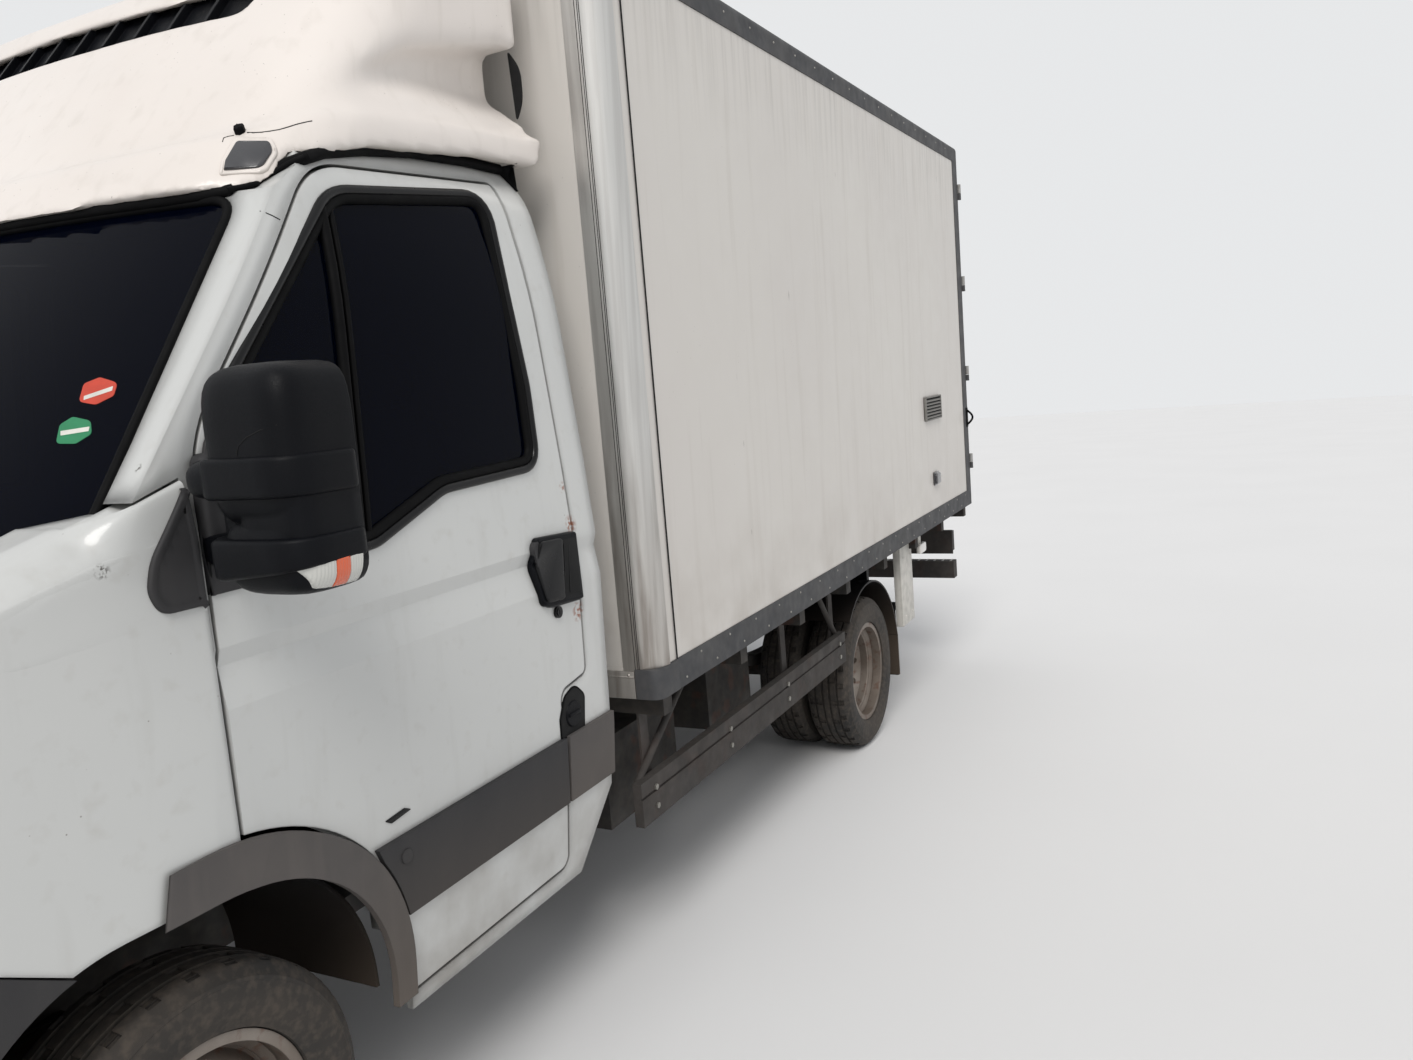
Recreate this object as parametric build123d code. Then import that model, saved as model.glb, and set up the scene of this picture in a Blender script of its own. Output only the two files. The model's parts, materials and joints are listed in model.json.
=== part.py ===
"""Light refrigerated truck: a short-nosed cab, a moulded roof fairing and an insulated box body.

Millimetres. The pieces are laid out in the body's own frame: X forward from the front axle, Y to the
left, Z up at right angles to the load floor, with Z = 0 at the rear tyres' contact. The sprung pieces
are then tilted nose-down by rake about the rear axle, and everything moves so that the origin is the
middle of the truck's foot-print, on the ground.
"""
import os
from math import atan2, cos, degrees, radians, sin, tan

from build123d import *

# Wheels and stance
WHEELBASE = 3450
TYRE_RADIUS = 335
TYRE_WIDTH = 195
RIM_FLANGE_RADIUS = 218
RIM_WIDTH = 160
FRONT_SIDEWALL_Y = 940
REAR_SIDEWALL_Y = 970
TWIN_SPACING = 220
FRONT_AXLE_DROP = 131
DROP_RADIUS = 182
HUB_RADIUS = 82
HAND_HOLES = 10
DISC_OFFSET = 100
KINGPIN_Y = 690
BALL_RADIUS = 16
SPINDLE_RADIUS = 24
SPINDLE_REACH = 60
STUB_RADIUS = 30
STUB_REACH = 40
UPPER_ARM_Z = 590
LOWER_ARM_Z = 350
CROSS_MEMBER_LOW = 330

# Ladder frame
RAIL_OUTER_Y = 430
RAIL_FLANGE = 69
RAIL_DEPTH = 180
RAIL_WEB = 8
RAIL_TOP = 716
RAIL_FRONT_X = 820
RAIL_REAR_X = -5080
CROSS_MEMBERS = (-1500, -2700, -3900, -4900)
SPRING_FRONT_X = -2850
SPRING_REAR_X = -4080
SPRING_EYE_Z = 520
SPRING_Y = 490
GEARBOX_REAR_X = -700
GEARBOX_Z = 560
ENGINE_MOUNTS = (-600, 420)
MUDGUARD_RADIUS = 392
TOW_PLATE_Z = 470
TOW_PLATE_THICK = 30
TOW_BORE_RADIUS = 15
GUARD_FRONT_X = -1370
GUARD_REAR_X = -3090
GUARD_LOW = 484
GUARD_HIGH = 610
GUARD_Y = 985
GUARD_BEARERS = (7, 5, 4)
MUDGUARD_BEARER = 3
BEARERS = 8
BEARER_DEPTH = 62

# Cab
CAB_REAR_X = -1240
CAB_HALF_WIDTH = 1000
CAB_WALL = 55
CAB_ROOF_TOP = 2300
SILL_Z = 488
FLOOR_TOP = 775
FLOOR_THICK = 40
PANEL_GAP = 7
FENDER_WALL = 30
BONNET_HALF_WIDTH = 790
NOSE_X = 960
NOSE_REAR_X = -160
BUMPER_TOP = 950
BUMPER_BOTTOM = 415
SCREEN_FOOT = (232, 1470)
SCREEN_HEAD = (-289, 2112)
SCREEN_SAG = 140
SCREEN_LOW = 1500
DRIP_LINE = [(-200, 2108), (-429, 2112), (-533, 2181), (-719, 2227), (-1090, 2259), (-1300, 2262)]
REAR_PANEL_Y = 800
LAMP_FOOT_X = 640
LAMP_INNER_Y = 470
LAMP_DEPTH = 80
BUMPER_SIDE_TOP = 975
BONNET_LIP = 1120
MIRROR_X0, MIRROR_X1 = -165, -30
MIRROR_Y0, MIRROR_Y1 = 1100, 1285
MIRROR_Z0, MIRROR_Z1 = 1450, 1775
MIRROR_BANDS = [(1480, 1532), (1592, 1648)]
GLASS_THICK = 6
SCREEN_INSET = 4
BONNET_PIN = (118, 1478)
BONNET_REAR = 48
COWL_LAP = 22
COWL_DROP = 4
COWL_THICK = 8
BONNET_ARM_Y = 748
ARCH_BACK = -402
ARCH_FRONT = 405
ARCH_TOP = 948
TRIM_BACK = 54
TRIM_TOP = 84
TRIM_PROUD = 16
LINER_THICK = 8
LINER_INNER_Y = 525
DOOR_FRONT_X = -98
DOOR_REAR_X = -1137
DOOR_BOTTOM = 525
DOOR_SKIN = 12
DOOR_EDGE_STEP = 10
CLAD_LOW = 700
CLAD_HIGH = 868
CLAD_PROUD = 12
CORNER_CLAD_X = -1034

# Roof fairing
FAIRING_REAR_X = -1300
FAIRING_HALF_WIDTH = 872
FAIRING_WALL = 25
FAIRING_TOP = 2838
SKIRT_PROUD = 26

DUCT_STATIONS = [
    # x, top edge, depth, foot of the hollow, ridge of the skirt
    (-590, 2335, 4, 2300, 2285),
    (-900, 2466, 52, 2412, 2310),
    (-1330, 2560, 112, 2440, 2336),
]
FRIDGE_FRONT_X = -1010
FRIDGE_HEIGHT = 330
FRIDGE_DROP = 165
SLOT_HALF_WIDTH = 590
SLOT_LOW = 2545
SLOT_HIGH = 2612
FAIRING_CORNER = 210

# Insulated box
BOX_FRONT_X = -1400
BOX_REAR_X = -5210
BOX_HALF_WIDTH = 1055
BOX_BOTTOM = 846
BOX_TOP = 2855
RAIL_HEIGHT = 87
BOX_WALL = 70
BOX_FLOOR = 120
POST_FLANGE = 71
POST_WIDTH = 110
ROOF_THICK = 80
FRAME_DEPTH = 97
DOOR_THICK = 75
HINGE_RADIUS = 9
HINGES = 4
HINGE_INSET = 140
LOCK_HANDLE_RISE = 427
LOCK_BARS = (60, 560)

# Running clearances
SEAT = 0.3
DOOR_GAP = 7
MIDDLE_GAP = 12


def block(x0, x1, y0, y1, z0, z1):
    """A block between two opposite corners."""
    return Pos((x0 + x1) / 2, (y0 + y1) / 2, (z0 + z1) / 2) * Box(x1 - x0, y1 - y0, z1 - z0)


def outline(points):
    """A closed face through (u, v, corner radius) points."""
    path = FilletPolyline(*[(u, v) for u, v, _ in points], radius=[r for _, _, r in points], close=True)
    return make_face(path)


def sharp(points):
    """A closed face through (u, v) points with no rounding."""
    return make_face(Polyline(*points, close=True))


def along_x(face, x0, x1):
    """Carry a (y, z) face from x0 to x1."""
    return extrude(Pos(x0, 0, 0) * (Plane.YZ * face), amount=x1 - x0, dir=(1, 0, 0))


def along_y(face, y0, y1):
    """Carry an (x, z) face from y0 to y1."""
    return extrude(Pos(0, y0, 0) * (Plane.XZ * face), amount=y1 - y0, dir=(0, 1, 0))


def along_z(face, z0, z1):
    """Carry an (x, y) face from z0 to z1."""
    return extrude(Pos(0, 0, z0) * face, amount=z1 - z0, dir=(0, 0, 1))


def tube_y(x, z, radius, y0, y1):
    """A round bar across the truck."""
    return Pos(x, (y0 + y1) / 2, z) * Rot(90, 0, 0) * Cylinder(radius, y1 - y0)


def tube_x(y, z, radius, x0, x1):
    """A round bar along the truck."""
    return Pos((x0 + x1) / 2, y, z) * Rot(0, 90, 0) * Cylinder(radius, x1 - x0)


def tube_z(x, y, radius, z0, z1):
    """An upright round bar."""
    return Pos(x, y, (z0 + z1) / 2) * Cylinder(radius, z1 - z0)


def both(piece):
    """A left-hand piece with its right-hand twin."""
    return [piece, mirror(piece, about=Plane.XZ)]


def mirrored_outline(half):
    """A face from the right-hand edge of an outline, listed from the bottom to the top as (y, z, radius)."""
    left = [(-y, z, r) for y, z, r in reversed(half)]
    return outline(half + left)


rake = atan2(FRONT_AXLE_DROP, WHEELBASE)
front_wheel_z = TYRE_RADIUS + FRONT_AXLE_DROP
front_wheel_y = FRONT_SIDEWALL_Y - TYRE_WIDTH / 2
rear_wheel_y = REAR_SIDEWALL_Y - TYRE_WIDTH / 2
bearer_pitch = (BOX_FRONT_X - BOX_REAR_X - 160) / (BEARERS - 1)
bearer_x = [BOX_REAR_X + 80 + bearer_pitch * step for step in range(BEARERS)]
bearer_low = BOX_BOTTOM - SEAT - BEARER_DEPTH
rear_hinge_x = BOX_REAR_X - HINGE_RADIUS - 2
rear_hinge_y = BOX_HALF_WIDTH + 7
rear_door_low = BOX_BOTTOM + BOX_FLOOR + DOOR_GAP
rear_door_high = BOX_TOP - ROOF_THICK - DOOR_GAP
hinge_pitch = (rear_door_high - rear_door_low - 2 * HINGE_INSET) / (HINGES - 1)
hinge_heights = [rear_door_low + HINGE_INSET + hinge_pitch * step for step in range(HINGES)]

# Cab cross-section, right-hand edge from the sill to the roof: (y, z, corner radius)
cab_section = [
    (CAB_HALF_WIDTH - 48, SILL_Z - 100, 0),
    (CAB_HALF_WIDTH - 8, 860, 1500),
    (CAB_HALF_WIDTH + 3, 1236, 0),
    (CAB_HALF_WIDTH - 9, 1308, 0),
    (CAB_HALF_WIDTH, 1338, 0),
    (CAB_HALF_WIDTH - 14, 1520, 2000),
    (CAB_HALF_WIDTH - 55, 1945, 1500),
    (CAB_HALF_WIDTH - 108, 2170, 240),
    (CAB_HALF_WIDTH - 190, CAB_ROOF_TOP - 35, 90),
    (0.45 * CAB_HALF_WIDTH, CAB_ROOF_TOP, 2000),
]
# Cab plan, left-hand edge from the rear: (x, y, corner radius)
cab_plan = [
    (CAB_REAR_X, CAB_HALF_WIDTH + 5, 20),
    (-100, CAB_HALF_WIDTH + 5, 2500),
    (420, CAB_HALF_WIDTH - 62, 1200),
    (NOSE_X - 200, CAB_HALF_WIDTH - 190, 350),
    (NOSE_X - 40, CAB_HALF_WIDTH - 520, 900),
]
# Top line of the bonnet at the middle of the truck, then the front face downwards: (x, z)
bonnet_line = [(0, 1588), (250, 1500), (520, 1398), (NOSE_X - 200, 1282), (NOSE_X - 85, 1196)]
nose_line = bonnet_line + [(NOSE_X - 38, 1110), (NOSE_X - 14, BUMPER_TOP + 5), (NOSE_X, BUMPER_TOP - 60),
                           (NOSE_X + 5, 700), (NOSE_X - 12, 520)]
screen_slope = atan2(SCREEN_HEAD[1] - SCREEN_FOOT[1], SCREEN_FOOT[0] - SCREEN_HEAD[0])
screen_dir = (-cos(screen_slope), 0, sin(screen_slope))


def screen_x(z):
    """Where the windscreen's surface crosses the middle of the truck at a height."""
    return SCREEN_FOOT[0] - (z - SCREEN_FOOT[1]) / tan(screen_slope)


def ahead_of_screen(inset):
    """Everything in front of the windscreen's surface, moved back by inset."""
    z0 = 1200
    x0 = screen_x(z0) - inset / sin(screen_slope)
    arc = ThreePointArc((x0 - SCREEN_SAG, -900), (x0, 0), (x0 - SCREEN_SAG, 900))
    rest = Polyline((x0 - SCREEN_SAG, 900), (x0 - SCREEN_SAG, 1300), (x0 + 1500, 1300), (x0 + 1500, -1300),
                    (x0 - SCREEN_SAG, -1300), (x0 - SCREEN_SAG, -900))
    return extrude(Pos(0, 0, z0) * make_face([arc, rest]), amount=1500, dir=screen_dir)


def inward(face, inset):
    """The face drawn in by inset all round."""
    return offset(face, amount=-inset, kind=Kind.INTERSECTION) if inset else face


def greenhouse(inset):
    """The cab from the doors' lower edge to the roof, behind the windscreen."""
    side = sharp([(CAB_REAR_X, SILL_Z - 200), (-60, SILL_Z - 200), (screen_x(1300), 1300), SCREEN_HEAD,
                  (-420, 2205), (-640, 2265), (-950, CAB_ROOF_TOP), (CAB_REAR_X, CAB_ROOF_TOP - 12)])
    body = along_y(inward(side, inset), -1200, 1200)
    body &= along_x(inward(mirrored_outline(cab_section), inset), CAB_REAR_X - 10, 600)
    return body - ahead_of_screen(inset)


def nose_section(x, top, shoulder, inset):
    """The nose's cross-section at x, with rounded shoulders; an inset one runs on below."""
    w = CAB_HALF_WIDTH + 2 - inset
    top -= inset
    half = [(w - 48, SILL_Z - 150 - 4 * inset, 0), (w - 8, 860, 900), (w, top - shoulder, 1.5 * shoulder),
            (w - shoulder, top, 1.5 * shoulder)]
    return Pos(x, 0, 0) * (Plane.YZ * mirrored_outline(half))


def nose(inset):
    """Bonnet, wings and front end as one closed form."""
    stations = [(NOSE_REAR_X, 1640, 60), (250, 1500, 90), (560, 1385, 120), (NOSE_X + 60, 1150, 130)]
    body = loft([nose_section(*station, inset) for station in stations])
    side = sharp([(NOSE_REAR_X, SILL_Z - 160 - 4 * inset), (NOSE_REAR_X, 1645)] + nose_line
                 + [(NOSE_X - 50, BUMPER_BOTTOM - 4 * inset)])
    body &= along_y(inward(side, inset), -1300, 1300)
    tip = [(NOSE_X + 5, 0, 2000)]
    plan = outline(cab_plan + tip + [(x, -y, r) for x, y, r in reversed(cab_plan)])
    return body & along_z(inward(plan, inset), 200, 1900)


def stretch(face, y_inner):
    """An (x, z) face carried from y_inner out past the truck's left side."""
    return along_y(face, y_inner, CAB_HALF_WIDTH + 300)


def arch_face(grow=0):
    """The front wheel opening seen from the side, open at its foot."""
    low = SILL_Z - 200
    back, front, top = ARCH_BACK - grow, ARCH_FRONT + grow, ARCH_TOP + grow
    return outline([(back, low, 0), (back, top, 360 + grow), (front, top - 25, 300 + grow), (front, low, 0)])


def trim_face(grow=0):
    """The outer edge of the wheel arch trim seen from the side."""
    low = SILL_Z - 200
    back, front, top = ARCH_BACK - TRIM_BACK - grow, ARCH_FRONT + TRIM_BACK + grow, ARCH_TOP + TRIM_TOP + grow
    return outline([(back, low, 0), (back, top, 420 + grow), (front, top - 25, 350 + grow), (front, low, 0)])


def door_face(gap=0):
    """The door's edge seen from the side; gap widens it all round."""
    face = outline([
        (DOOR_FRONT_X, DOOR_BOTTOM, 0), (DOOR_FRONT_X, 1290, 800), (DOOR_FRONT_X - 24, 1665, 300),
        (-535, 2168, 200), (DOOR_REAR_X, 2202, 12), (DOOR_REAR_X, 1003, 18), (-1022, 985, 35),
        (-1031, 700, 0), (-1026, DOOR_BOTTOM + 12, 30)])
    face = offset(face, amount=gap) if gap else face
    return face - trim_face(PANEL_GAP - gap)


def window_face(gap=0):
    """The door window's opening seen from the side; gap narrows it."""
    face = outline([
        (-185, 1445, 20), (-185, 1725, 60), (-562, 2120, 150), (-1062, 2168, 60), (-1050, 1700, 900),
        (-1036, 1532, 60), (-700, 1522, 150), (-480, 1445, 120)])
    return offset(face, amount=-gap) if gap else face


def screen_face(gap=0):
    """The windscreen's opening seen from the front; gap narrows it."""
    return mirrored_outline([(918 - gap, SCREEN_LOW + gap, 30), (846 - gap, SCREEN_HEAD[1] - 8 - gap, 60)])


outer_cab = greenhouse(0)
outer_nose = nose(0)
cab_shell = outer_cab - greenhouse(CAB_WALL) - block(CAB_REAR_X + CAB_WALL, 500, -945, 945, 200, 700)
nose_shell = outer_nose - nose(FENDER_WALL)
drip_above = DRIP_LINE + [(CAB_REAR_X - 20, CAB_ROOF_TOP + 60), (-150, CAB_ROOF_TOP + 60)]
half_gap = PANEL_GAP / 2
pieces = {}


def add(name, *solids):
    """Keep the solids of one named piece."""
    pieces[name] = [part for shape in solids for part in shape.solids()]


def left_door():
    """The cab's wall inside the door's edge, with its window cut."""
    shell = cab_shell & stretch(door_face(), 700)
    lean = sharp([(DOOR_REAR_X - 1, 1700), (DOOR_REAR_X + 5, 2210), (DOOR_REAR_X - 30, 2210),
                  (DOOR_REAR_X - 30, 1700)])
    shell -= stretch(lean, 500)
    step = block(DOOR_REAR_X - 30, DOOR_REAR_X + DOOR_EDGE_STEP, 500, 1100, 900, 2300)
    shell -= step & greenhouse(DOOR_SKIN)
    return shell - stretch(window_face(), 500)


def left_glass():
    """The door's window glass, one pane from the quarter light to the rear edge."""
    layer = greenhouse(8) - greenhouse(8 + GLASS_THICK)
    return layer & stretch(window_face(SEAT), 700)


def left_door_trim():
    """The dark cladding strip and the pull handle."""
    skin = along_x(mirrored_outline(cab_section), CAB_REAR_X, 0)
    face = sharp([(-450, CLAD_LOW), (-378, CLAD_HIGH), (-1021, CLAD_HIGH), (-1027, CLAD_LOW)])
    strip = along_y(face, CAB_HALF_WIDTH - 60, CAB_HALF_WIDTH + 40)
    strip &= along_x(offset(mirrored_outline(cab_section), amount=CLAD_PROUD), CAB_REAR_X, 0)
    face = outline([(-950, 1362, 20), (-1128, 1360, 12), (-1130, 1190, 12), (-985, 1198, 25)])
    handle = along_y(face, CAB_HALF_WIDTH - 40, CAB_HALF_WIDTH + 14)
    return (strip & stretch(door_face(), 900)) - skin, handle - skin


def left_side_frame():
    """Pillars, cant rail, sill and rear corner in one pressing, with the hinge post behind the wing."""
    face = sharp([(CAB_REAR_X - 20, 690), (-1085, SILL_Z), (DOOR_FRONT_X + PANEL_GAP, SILL_Z),
                  (DOOR_FRONT_X + PANEL_GAP, 1618), (60, 1568)] + [(x, z - SEAT) for x, z in DRIP_LINE])
    side = cab_shell & stretch(face, 700)
    side -= stretch(door_face(PANEL_GAP), 500)
    side -= along_x(screen_face(), -700, 500)
    side -= block(CAB_REAR_X - 20, CAB_REAR_X + CAB_WALL, 0, REAR_PANEL_Y, 0, 2500)
    side -= stretch(trim_face(), 500)
    post = block(-88, -20, 870, 925, FLOOR_TOP + SEAT, 1525) - stretch(arch_face(LINER_THICK + SEAT), 500)
    sill = block(-1150, -470, 860, 915, FLOOR_TOP - FLOOR_THICK - 95, FLOOR_TOP - FLOOR_THICK - SEAT)
    return side, post, sill


def cab_roof():
    """Roof panel down to the drip line, set back under the fairing's front."""
    return (cab_shell & along_y(sharp(drip_above), -1200, 1200)) - ahead_of_screen(FAIRING_WALL + 5)


def cab_rear_panel():
    """The flat wall behind the seats."""
    wall = cab_shell & block(CAB_REAR_X - 20, CAB_REAR_X + CAB_WALL, SEAT - REAR_PANEL_Y, REAR_PANEL_Y - SEAT,
                             FLOOR_TOP - FLOOR_THICK, 2500)
    return wall - along_y(sharp(drip_above), -1200, 1200)


def cab_floor():
    """Floor pan, bulkhead and the shelf under the windscreen, clear of both wheel housings."""
    pan = block(CAB_REAR_X + CAB_WALL + SEAT, 60, -925, 925, FLOOR_TOP - FLOOR_THICK, FLOOR_TOP)
    bulkhead = block(60, 90, -925, 925, FLOOR_TOP - FLOOR_THICK, SCREEN_LOW - 5)
    shelf = block(60, 320, -800, 800, SCREEN_LOW - 30, SCREEN_LOW - 5) - ahead_of_screen(40)
    body = pan + bulkhead + shelf
    for x in (-1100, -450):
        for pad in both(block(x - 50, x + 50, RAIL_OUTER_Y - RAIL_FLANGE, RAIL_OUTER_Y, RAIL_TOP + SEAT,
                              FLOOR_TOP - 10)):
            body += pad
    pin_x, pin_z = BONNET_PIN
    for pin in both(block(80, pin_x + 8, BONNET_ARM_Y - 12, BONNET_ARM_Y - 2, pin_z - 12, pin_z + 12)
                    + tube_y(pin_x, pin_z, 5, BONNET_ARM_Y - 12, BONNET_ARM_Y + 9)):
        body += pin
    for housing in both(along_y(arch_face(LINER_THICK + SEAT), LINER_INNER_Y - LINER_THICK - SEAT, 1200)):
        body -= housing
    body -= block(-88 - SEAT, -20 + SEAT, 870 - SEAT, 930, FLOOR_TOP - 1, 1600)
    return body


def wheel_liner():
    """The left wheel housing: an arched liner with an inner wall above the suspension."""
    arch = arch_face(LINER_THICK) - arch_face()
    liner = along_y(arch, LINER_INNER_Y, 925) & block(-600, 600, 0, 1000, 560, 1000)
    wall = along_y(arch_face(LINER_THICK), LINER_INNER_Y - LINER_THICK, LINER_INNER_Y)
    return liner + (wall & block(-600, 600, 0, 1000, 740, 1000))


def left_fender():
    """The wing, from the door's edge to the headlamp, cut out over the wheel."""
    face = sharp([(DOOR_FRONT_X + PANEL_GAP, 700), (DOOR_FRONT_X + PANEL_GAP, 1611), (64, 1560), (64, 1720),
                  (640, 1720), (LAMP_FOOT_X - 6, BUMPER_SIDE_TOP + half_gap),
                  (280, BUMPER_SIDE_TOP + half_gap), (148, 905)])
    wing = nose_shell & along_y(face, BONNET_HALF_WIDTH + PANEL_GAP, 1200)
    wing -= stretch(arch_face(10), 500)
    wing -= along_x(screen_face(-PANEL_GAP), -300, 500) - ahead_of_screen(-PANEL_GAP)
    return wing - lamp_block(PANEL_GAP)


def lamp_block(gap=0):
    """The corner of the nose that holds the left headlamp."""
    face = sharp([(LAMP_FOOT_X - gap, BUMPER_TOP - 100), (LAMP_FOOT_X - 70 - gap, 1245 + gap),
                  (NOSE_X + 60, 1060 + gap), (NOSE_X + 60, BUMPER_TOP - 100)])
    return along_y(face, LAMP_INNER_Y - gap, 1200)


def left_headlamp():
    """The headlamp unit, flush with the nose."""
    low = along_y(sharp([(500, BUMPER_SIDE_TOP + half_gap), (NOSE_X - 60, BUMPER_TOP + half_gap),
                         (NOSE_X + 60, BUMPER_TOP + half_gap), (NOSE_X + 60, 1400), (500, 1400)]), 0, 1200)
    form = nose(3) & lamp_block() & low
    shell = form - Pos(-LAMP_DEPTH, -30, -20) * form
    return shell + Pos(-4, -3, SEAT - half_gap) * shell


def bonnet():
    """The bonnet's top panel with its turned-down front edge."""
    x0 = screen_x(SCREEN_LOW) + BONNET_REAR
    arc = ThreePointArc((x0 - SCREEN_SAG, -900), (x0, 0), (x0 - SCREEN_SAG, 900))
    rest = Polyline((x0 - SCREEN_SAG, 900), (1200, 900), (1200, -900), (x0 - SCREEN_SAG, -900))
    panel = nose_shell & along_z(make_face([arc, rest]), 1000, 1700)
    side = sharp([(0, 1300), (0, 1700), (1100, 1700), (1100, BONNET_LIP), (NOSE_X - 90, BONNET_LIP)])
    panel &= along_y(side, -BONNET_HALF_WIDTH, BONNET_HALF_WIDTH)
    for lamp, arm in zip(both(lamp_block(PANEL_GAP)), both(bonnet_arm())):
        panel = panel - lamp + arm
    return panel


def bonnet_arm():
    """The left hinge arm, from its pin behind the cowl to the underside of the bonnet."""
    x, z = BONNET_PIN
    face = sharp([(x - 12, z - 12), (x - 12, z + 12), (x + 45, z + 36), (x + 185, z - 12), (x + 185, z - 45),
                  (x + 45, z - 2)])
    bore = tube_y(x, z, 5 + SEAT, BONNET_ARM_Y - 1, BONNET_ARM_Y + 9)
    return along_y(face, BONNET_ARM_Y, BONNET_ARM_Y + 8) - bore


def cowl():
    """The sunk tray from under the bonnet's rear edge to the windscreen, slotted for the hinge arms."""
    x0 = screen_x(SCREEN_LOW) + BONNET_REAR + COWL_LAP
    arc = ThreePointArc((x0 - SCREEN_SAG, -900), (x0, 0), (x0 - SCREEN_SAG, 900))
    rest = Polyline((x0 - SCREEN_SAG, 900), (-300, 900), (-300, -900), (x0 - SCREEN_SAG, -900))
    depth = FENDER_WALL + COWL_DROP
    panel = (nose(depth) - nose(depth + COWL_THICK)) & along_z(make_face([arc, rest]), 1000, 1700)
    width = BONNET_HALF_WIDTH + PANEL_GAP - SEAT
    panel &= block(-100, 400, -width, width, 1300, 1700)
    for slot in both(block(BONNET_PIN[0] - 25, 400, BONNET_ARM_Y - 8, BONNET_ARM_Y + 16, 1300, 1700)):
        panel -= slot
    return panel & ahead_of_screen(SCREEN_INSET - SEAT)


def windscreen():
    """The curved windscreen in its opening."""
    layer = ahead_of_screen(SCREEN_INSET + GLASS_THICK) - ahead_of_screen(SCREEN_INSET)
    return layer & along_x(screen_face(SEAT), -700, 500)


def grille():
    """The slatted panel between the headlamps."""
    panel = nose_shell & block(700, 1100, PANEL_GAP - LAMP_INNER_Y, LAMP_INNER_Y - PANEL_GAP,
                               BUMPER_TOP + half_gap, BONNET_LIP - PANEL_GAP)
    pitch = (BONNET_LIP - BUMPER_TOP - 40) / 3
    for slot in range(3):
        z = BUMPER_TOP + 22 + slot * pitch
        panel -= block(600, 1200, 24 - LAMP_INNER_Y + 20, LAMP_INNER_Y - 44, z, z + pitch - 16)
    foot = nose_shell & block(700, 1100, -300, 300, BUMPER_TOP + SEAT, BUMPER_TOP + half_gap + 2)
    return panel + Pos(-8, 0, 0) * foot


def bumper():
    """The wrap-round bumper with its air intake."""
    face = sharp([(148, 900), (280, BUMPER_SIDE_TOP), (500, BUMPER_SIDE_TOP), (NOSE_X - 60, BUMPER_TOP),
                  (NOSE_X + 60, BUMPER_TOP), (NOSE_X + 60, BUMPER_BOTTOM), (300, BUMPER_BOTTOM), (148, 600)])
    body = nose_shell & along_y(face, -1200, 1200)
    for opening in both(stretch(arch_face(2), 300) + along_y(arch_face(LINER_THICK + SEAT), 300, 926)):
        body -= opening
    for z in (560, 640):
        body -= block(700, 1100, -420, 420, z, z + 55)
    return body


def left_arch_trim():
    """The proud trim round the wheel arch and the cladding on the cab's rear corner."""
    ring = stretch(trim_face() - arch_face(), 900)
    ring &= along_x(offset(mirrored_outline(cab_section), amount=TRIM_PROUD), -700, 600)
    plan = outline(cab_plan + [(NOSE_X + 5, 0, 2000)] + [(x, -y, r) for x, y, r in reversed(cab_plan)])
    ring &= along_z(offset(plan, amount=TRIM_PROUD - 6), 300, 1300)
    ring &= stretch(sharp([(-700, 528), (-700, 1200), (260, 1200), (148, 905), (60, 700), (-300, 528)]), 900)
    return ring - outer_nose - outer_cab


def corner_cladding():
    """The cladding carried on over the cab's rear corner."""
    face = sharp([(CORNER_CLAD_X, CLAD_LOW), (CORNER_CLAD_X, CLAD_HIGH), (CAB_REAR_X, CLAD_HIGH),
                  (CAB_REAR_X, CLAD_LOW)])
    strip = along_y(face, CAB_HALF_WIDTH - 60, CAB_HALF_WIDTH + 40)
    strip &= along_x(offset(mirrored_outline(cab_section), amount=CLAD_PROUD), CAB_REAR_X - 160, 0)
    return strip - along_x(mirrored_outline(cab_section), CAB_REAR_X - 160, 0)


def left_mirror():
    """Housing held by two bands on short arms, on a foot at the door's front corner."""
    plan = outline([(MIRROR_X0, MIRROR_Y0, 50), (MIRROR_X0, MIRROR_Y1, 50), (MIRROR_X1, MIRROR_Y1, 50),
                    (MIRROR_X1, MIRROR_Y0, 50)])
    body = along_z(plan, MIRROR_Z0, MIRROR_Z1)
    for z0, z1 in MIRROR_BANDS:
        band = along_z(offset(plan, amount=10), z0, z1)
        arm = block(MIRROR_X0 + 2, MIRROR_X0 + 35, 960, MIRROR_Y0 + 40, z0, z1)
        body += band + arm
    foot = along_y(sharp([(-122, 1450), (-134, 1600), (-190, 1650), (-190, 1450)]), 960, 1006) - outer_cab
    return body + foot - outer_cab


def seats():
    """Driver's seat and a double bench."""
    found = []
    for y0, y1 in ((180, 700), (-740, 80)):
        back = outline([(-1000, 1060, 0), (-870, 1060, 20), (-1020, 1690, 40), (-1150, 1690, 40)])
        found.append(block(-930, -470, y0, y1, FLOOR_TOP + SEAT, 960) + block(-1000, -440, y0, y1, 960, 1090)
                     + along_y(back, y0, y1))
    return found


def dashboard():
    """Dashboard, steering column and steering wheel."""
    face = outline([(60 - SEAT, 1180, 0), (-210, 1130, 40), (-290, 1290, 50), (-230, 1400, 60),
                    (60 - SEAT, 1440, 0)])
    body = along_y(face, -860, 860)
    wheel = Pos(-470, 440, 1330) * Rot(0, 118, 0)
    column = wheel * Pos(0, 0, 110) * Cylinder(32, 240)
    spokes = wheel * (Box(360, 40, 16) + Box(40, 360, 16))
    return body + column + wheel * Torus(190, 14) + spokes


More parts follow.
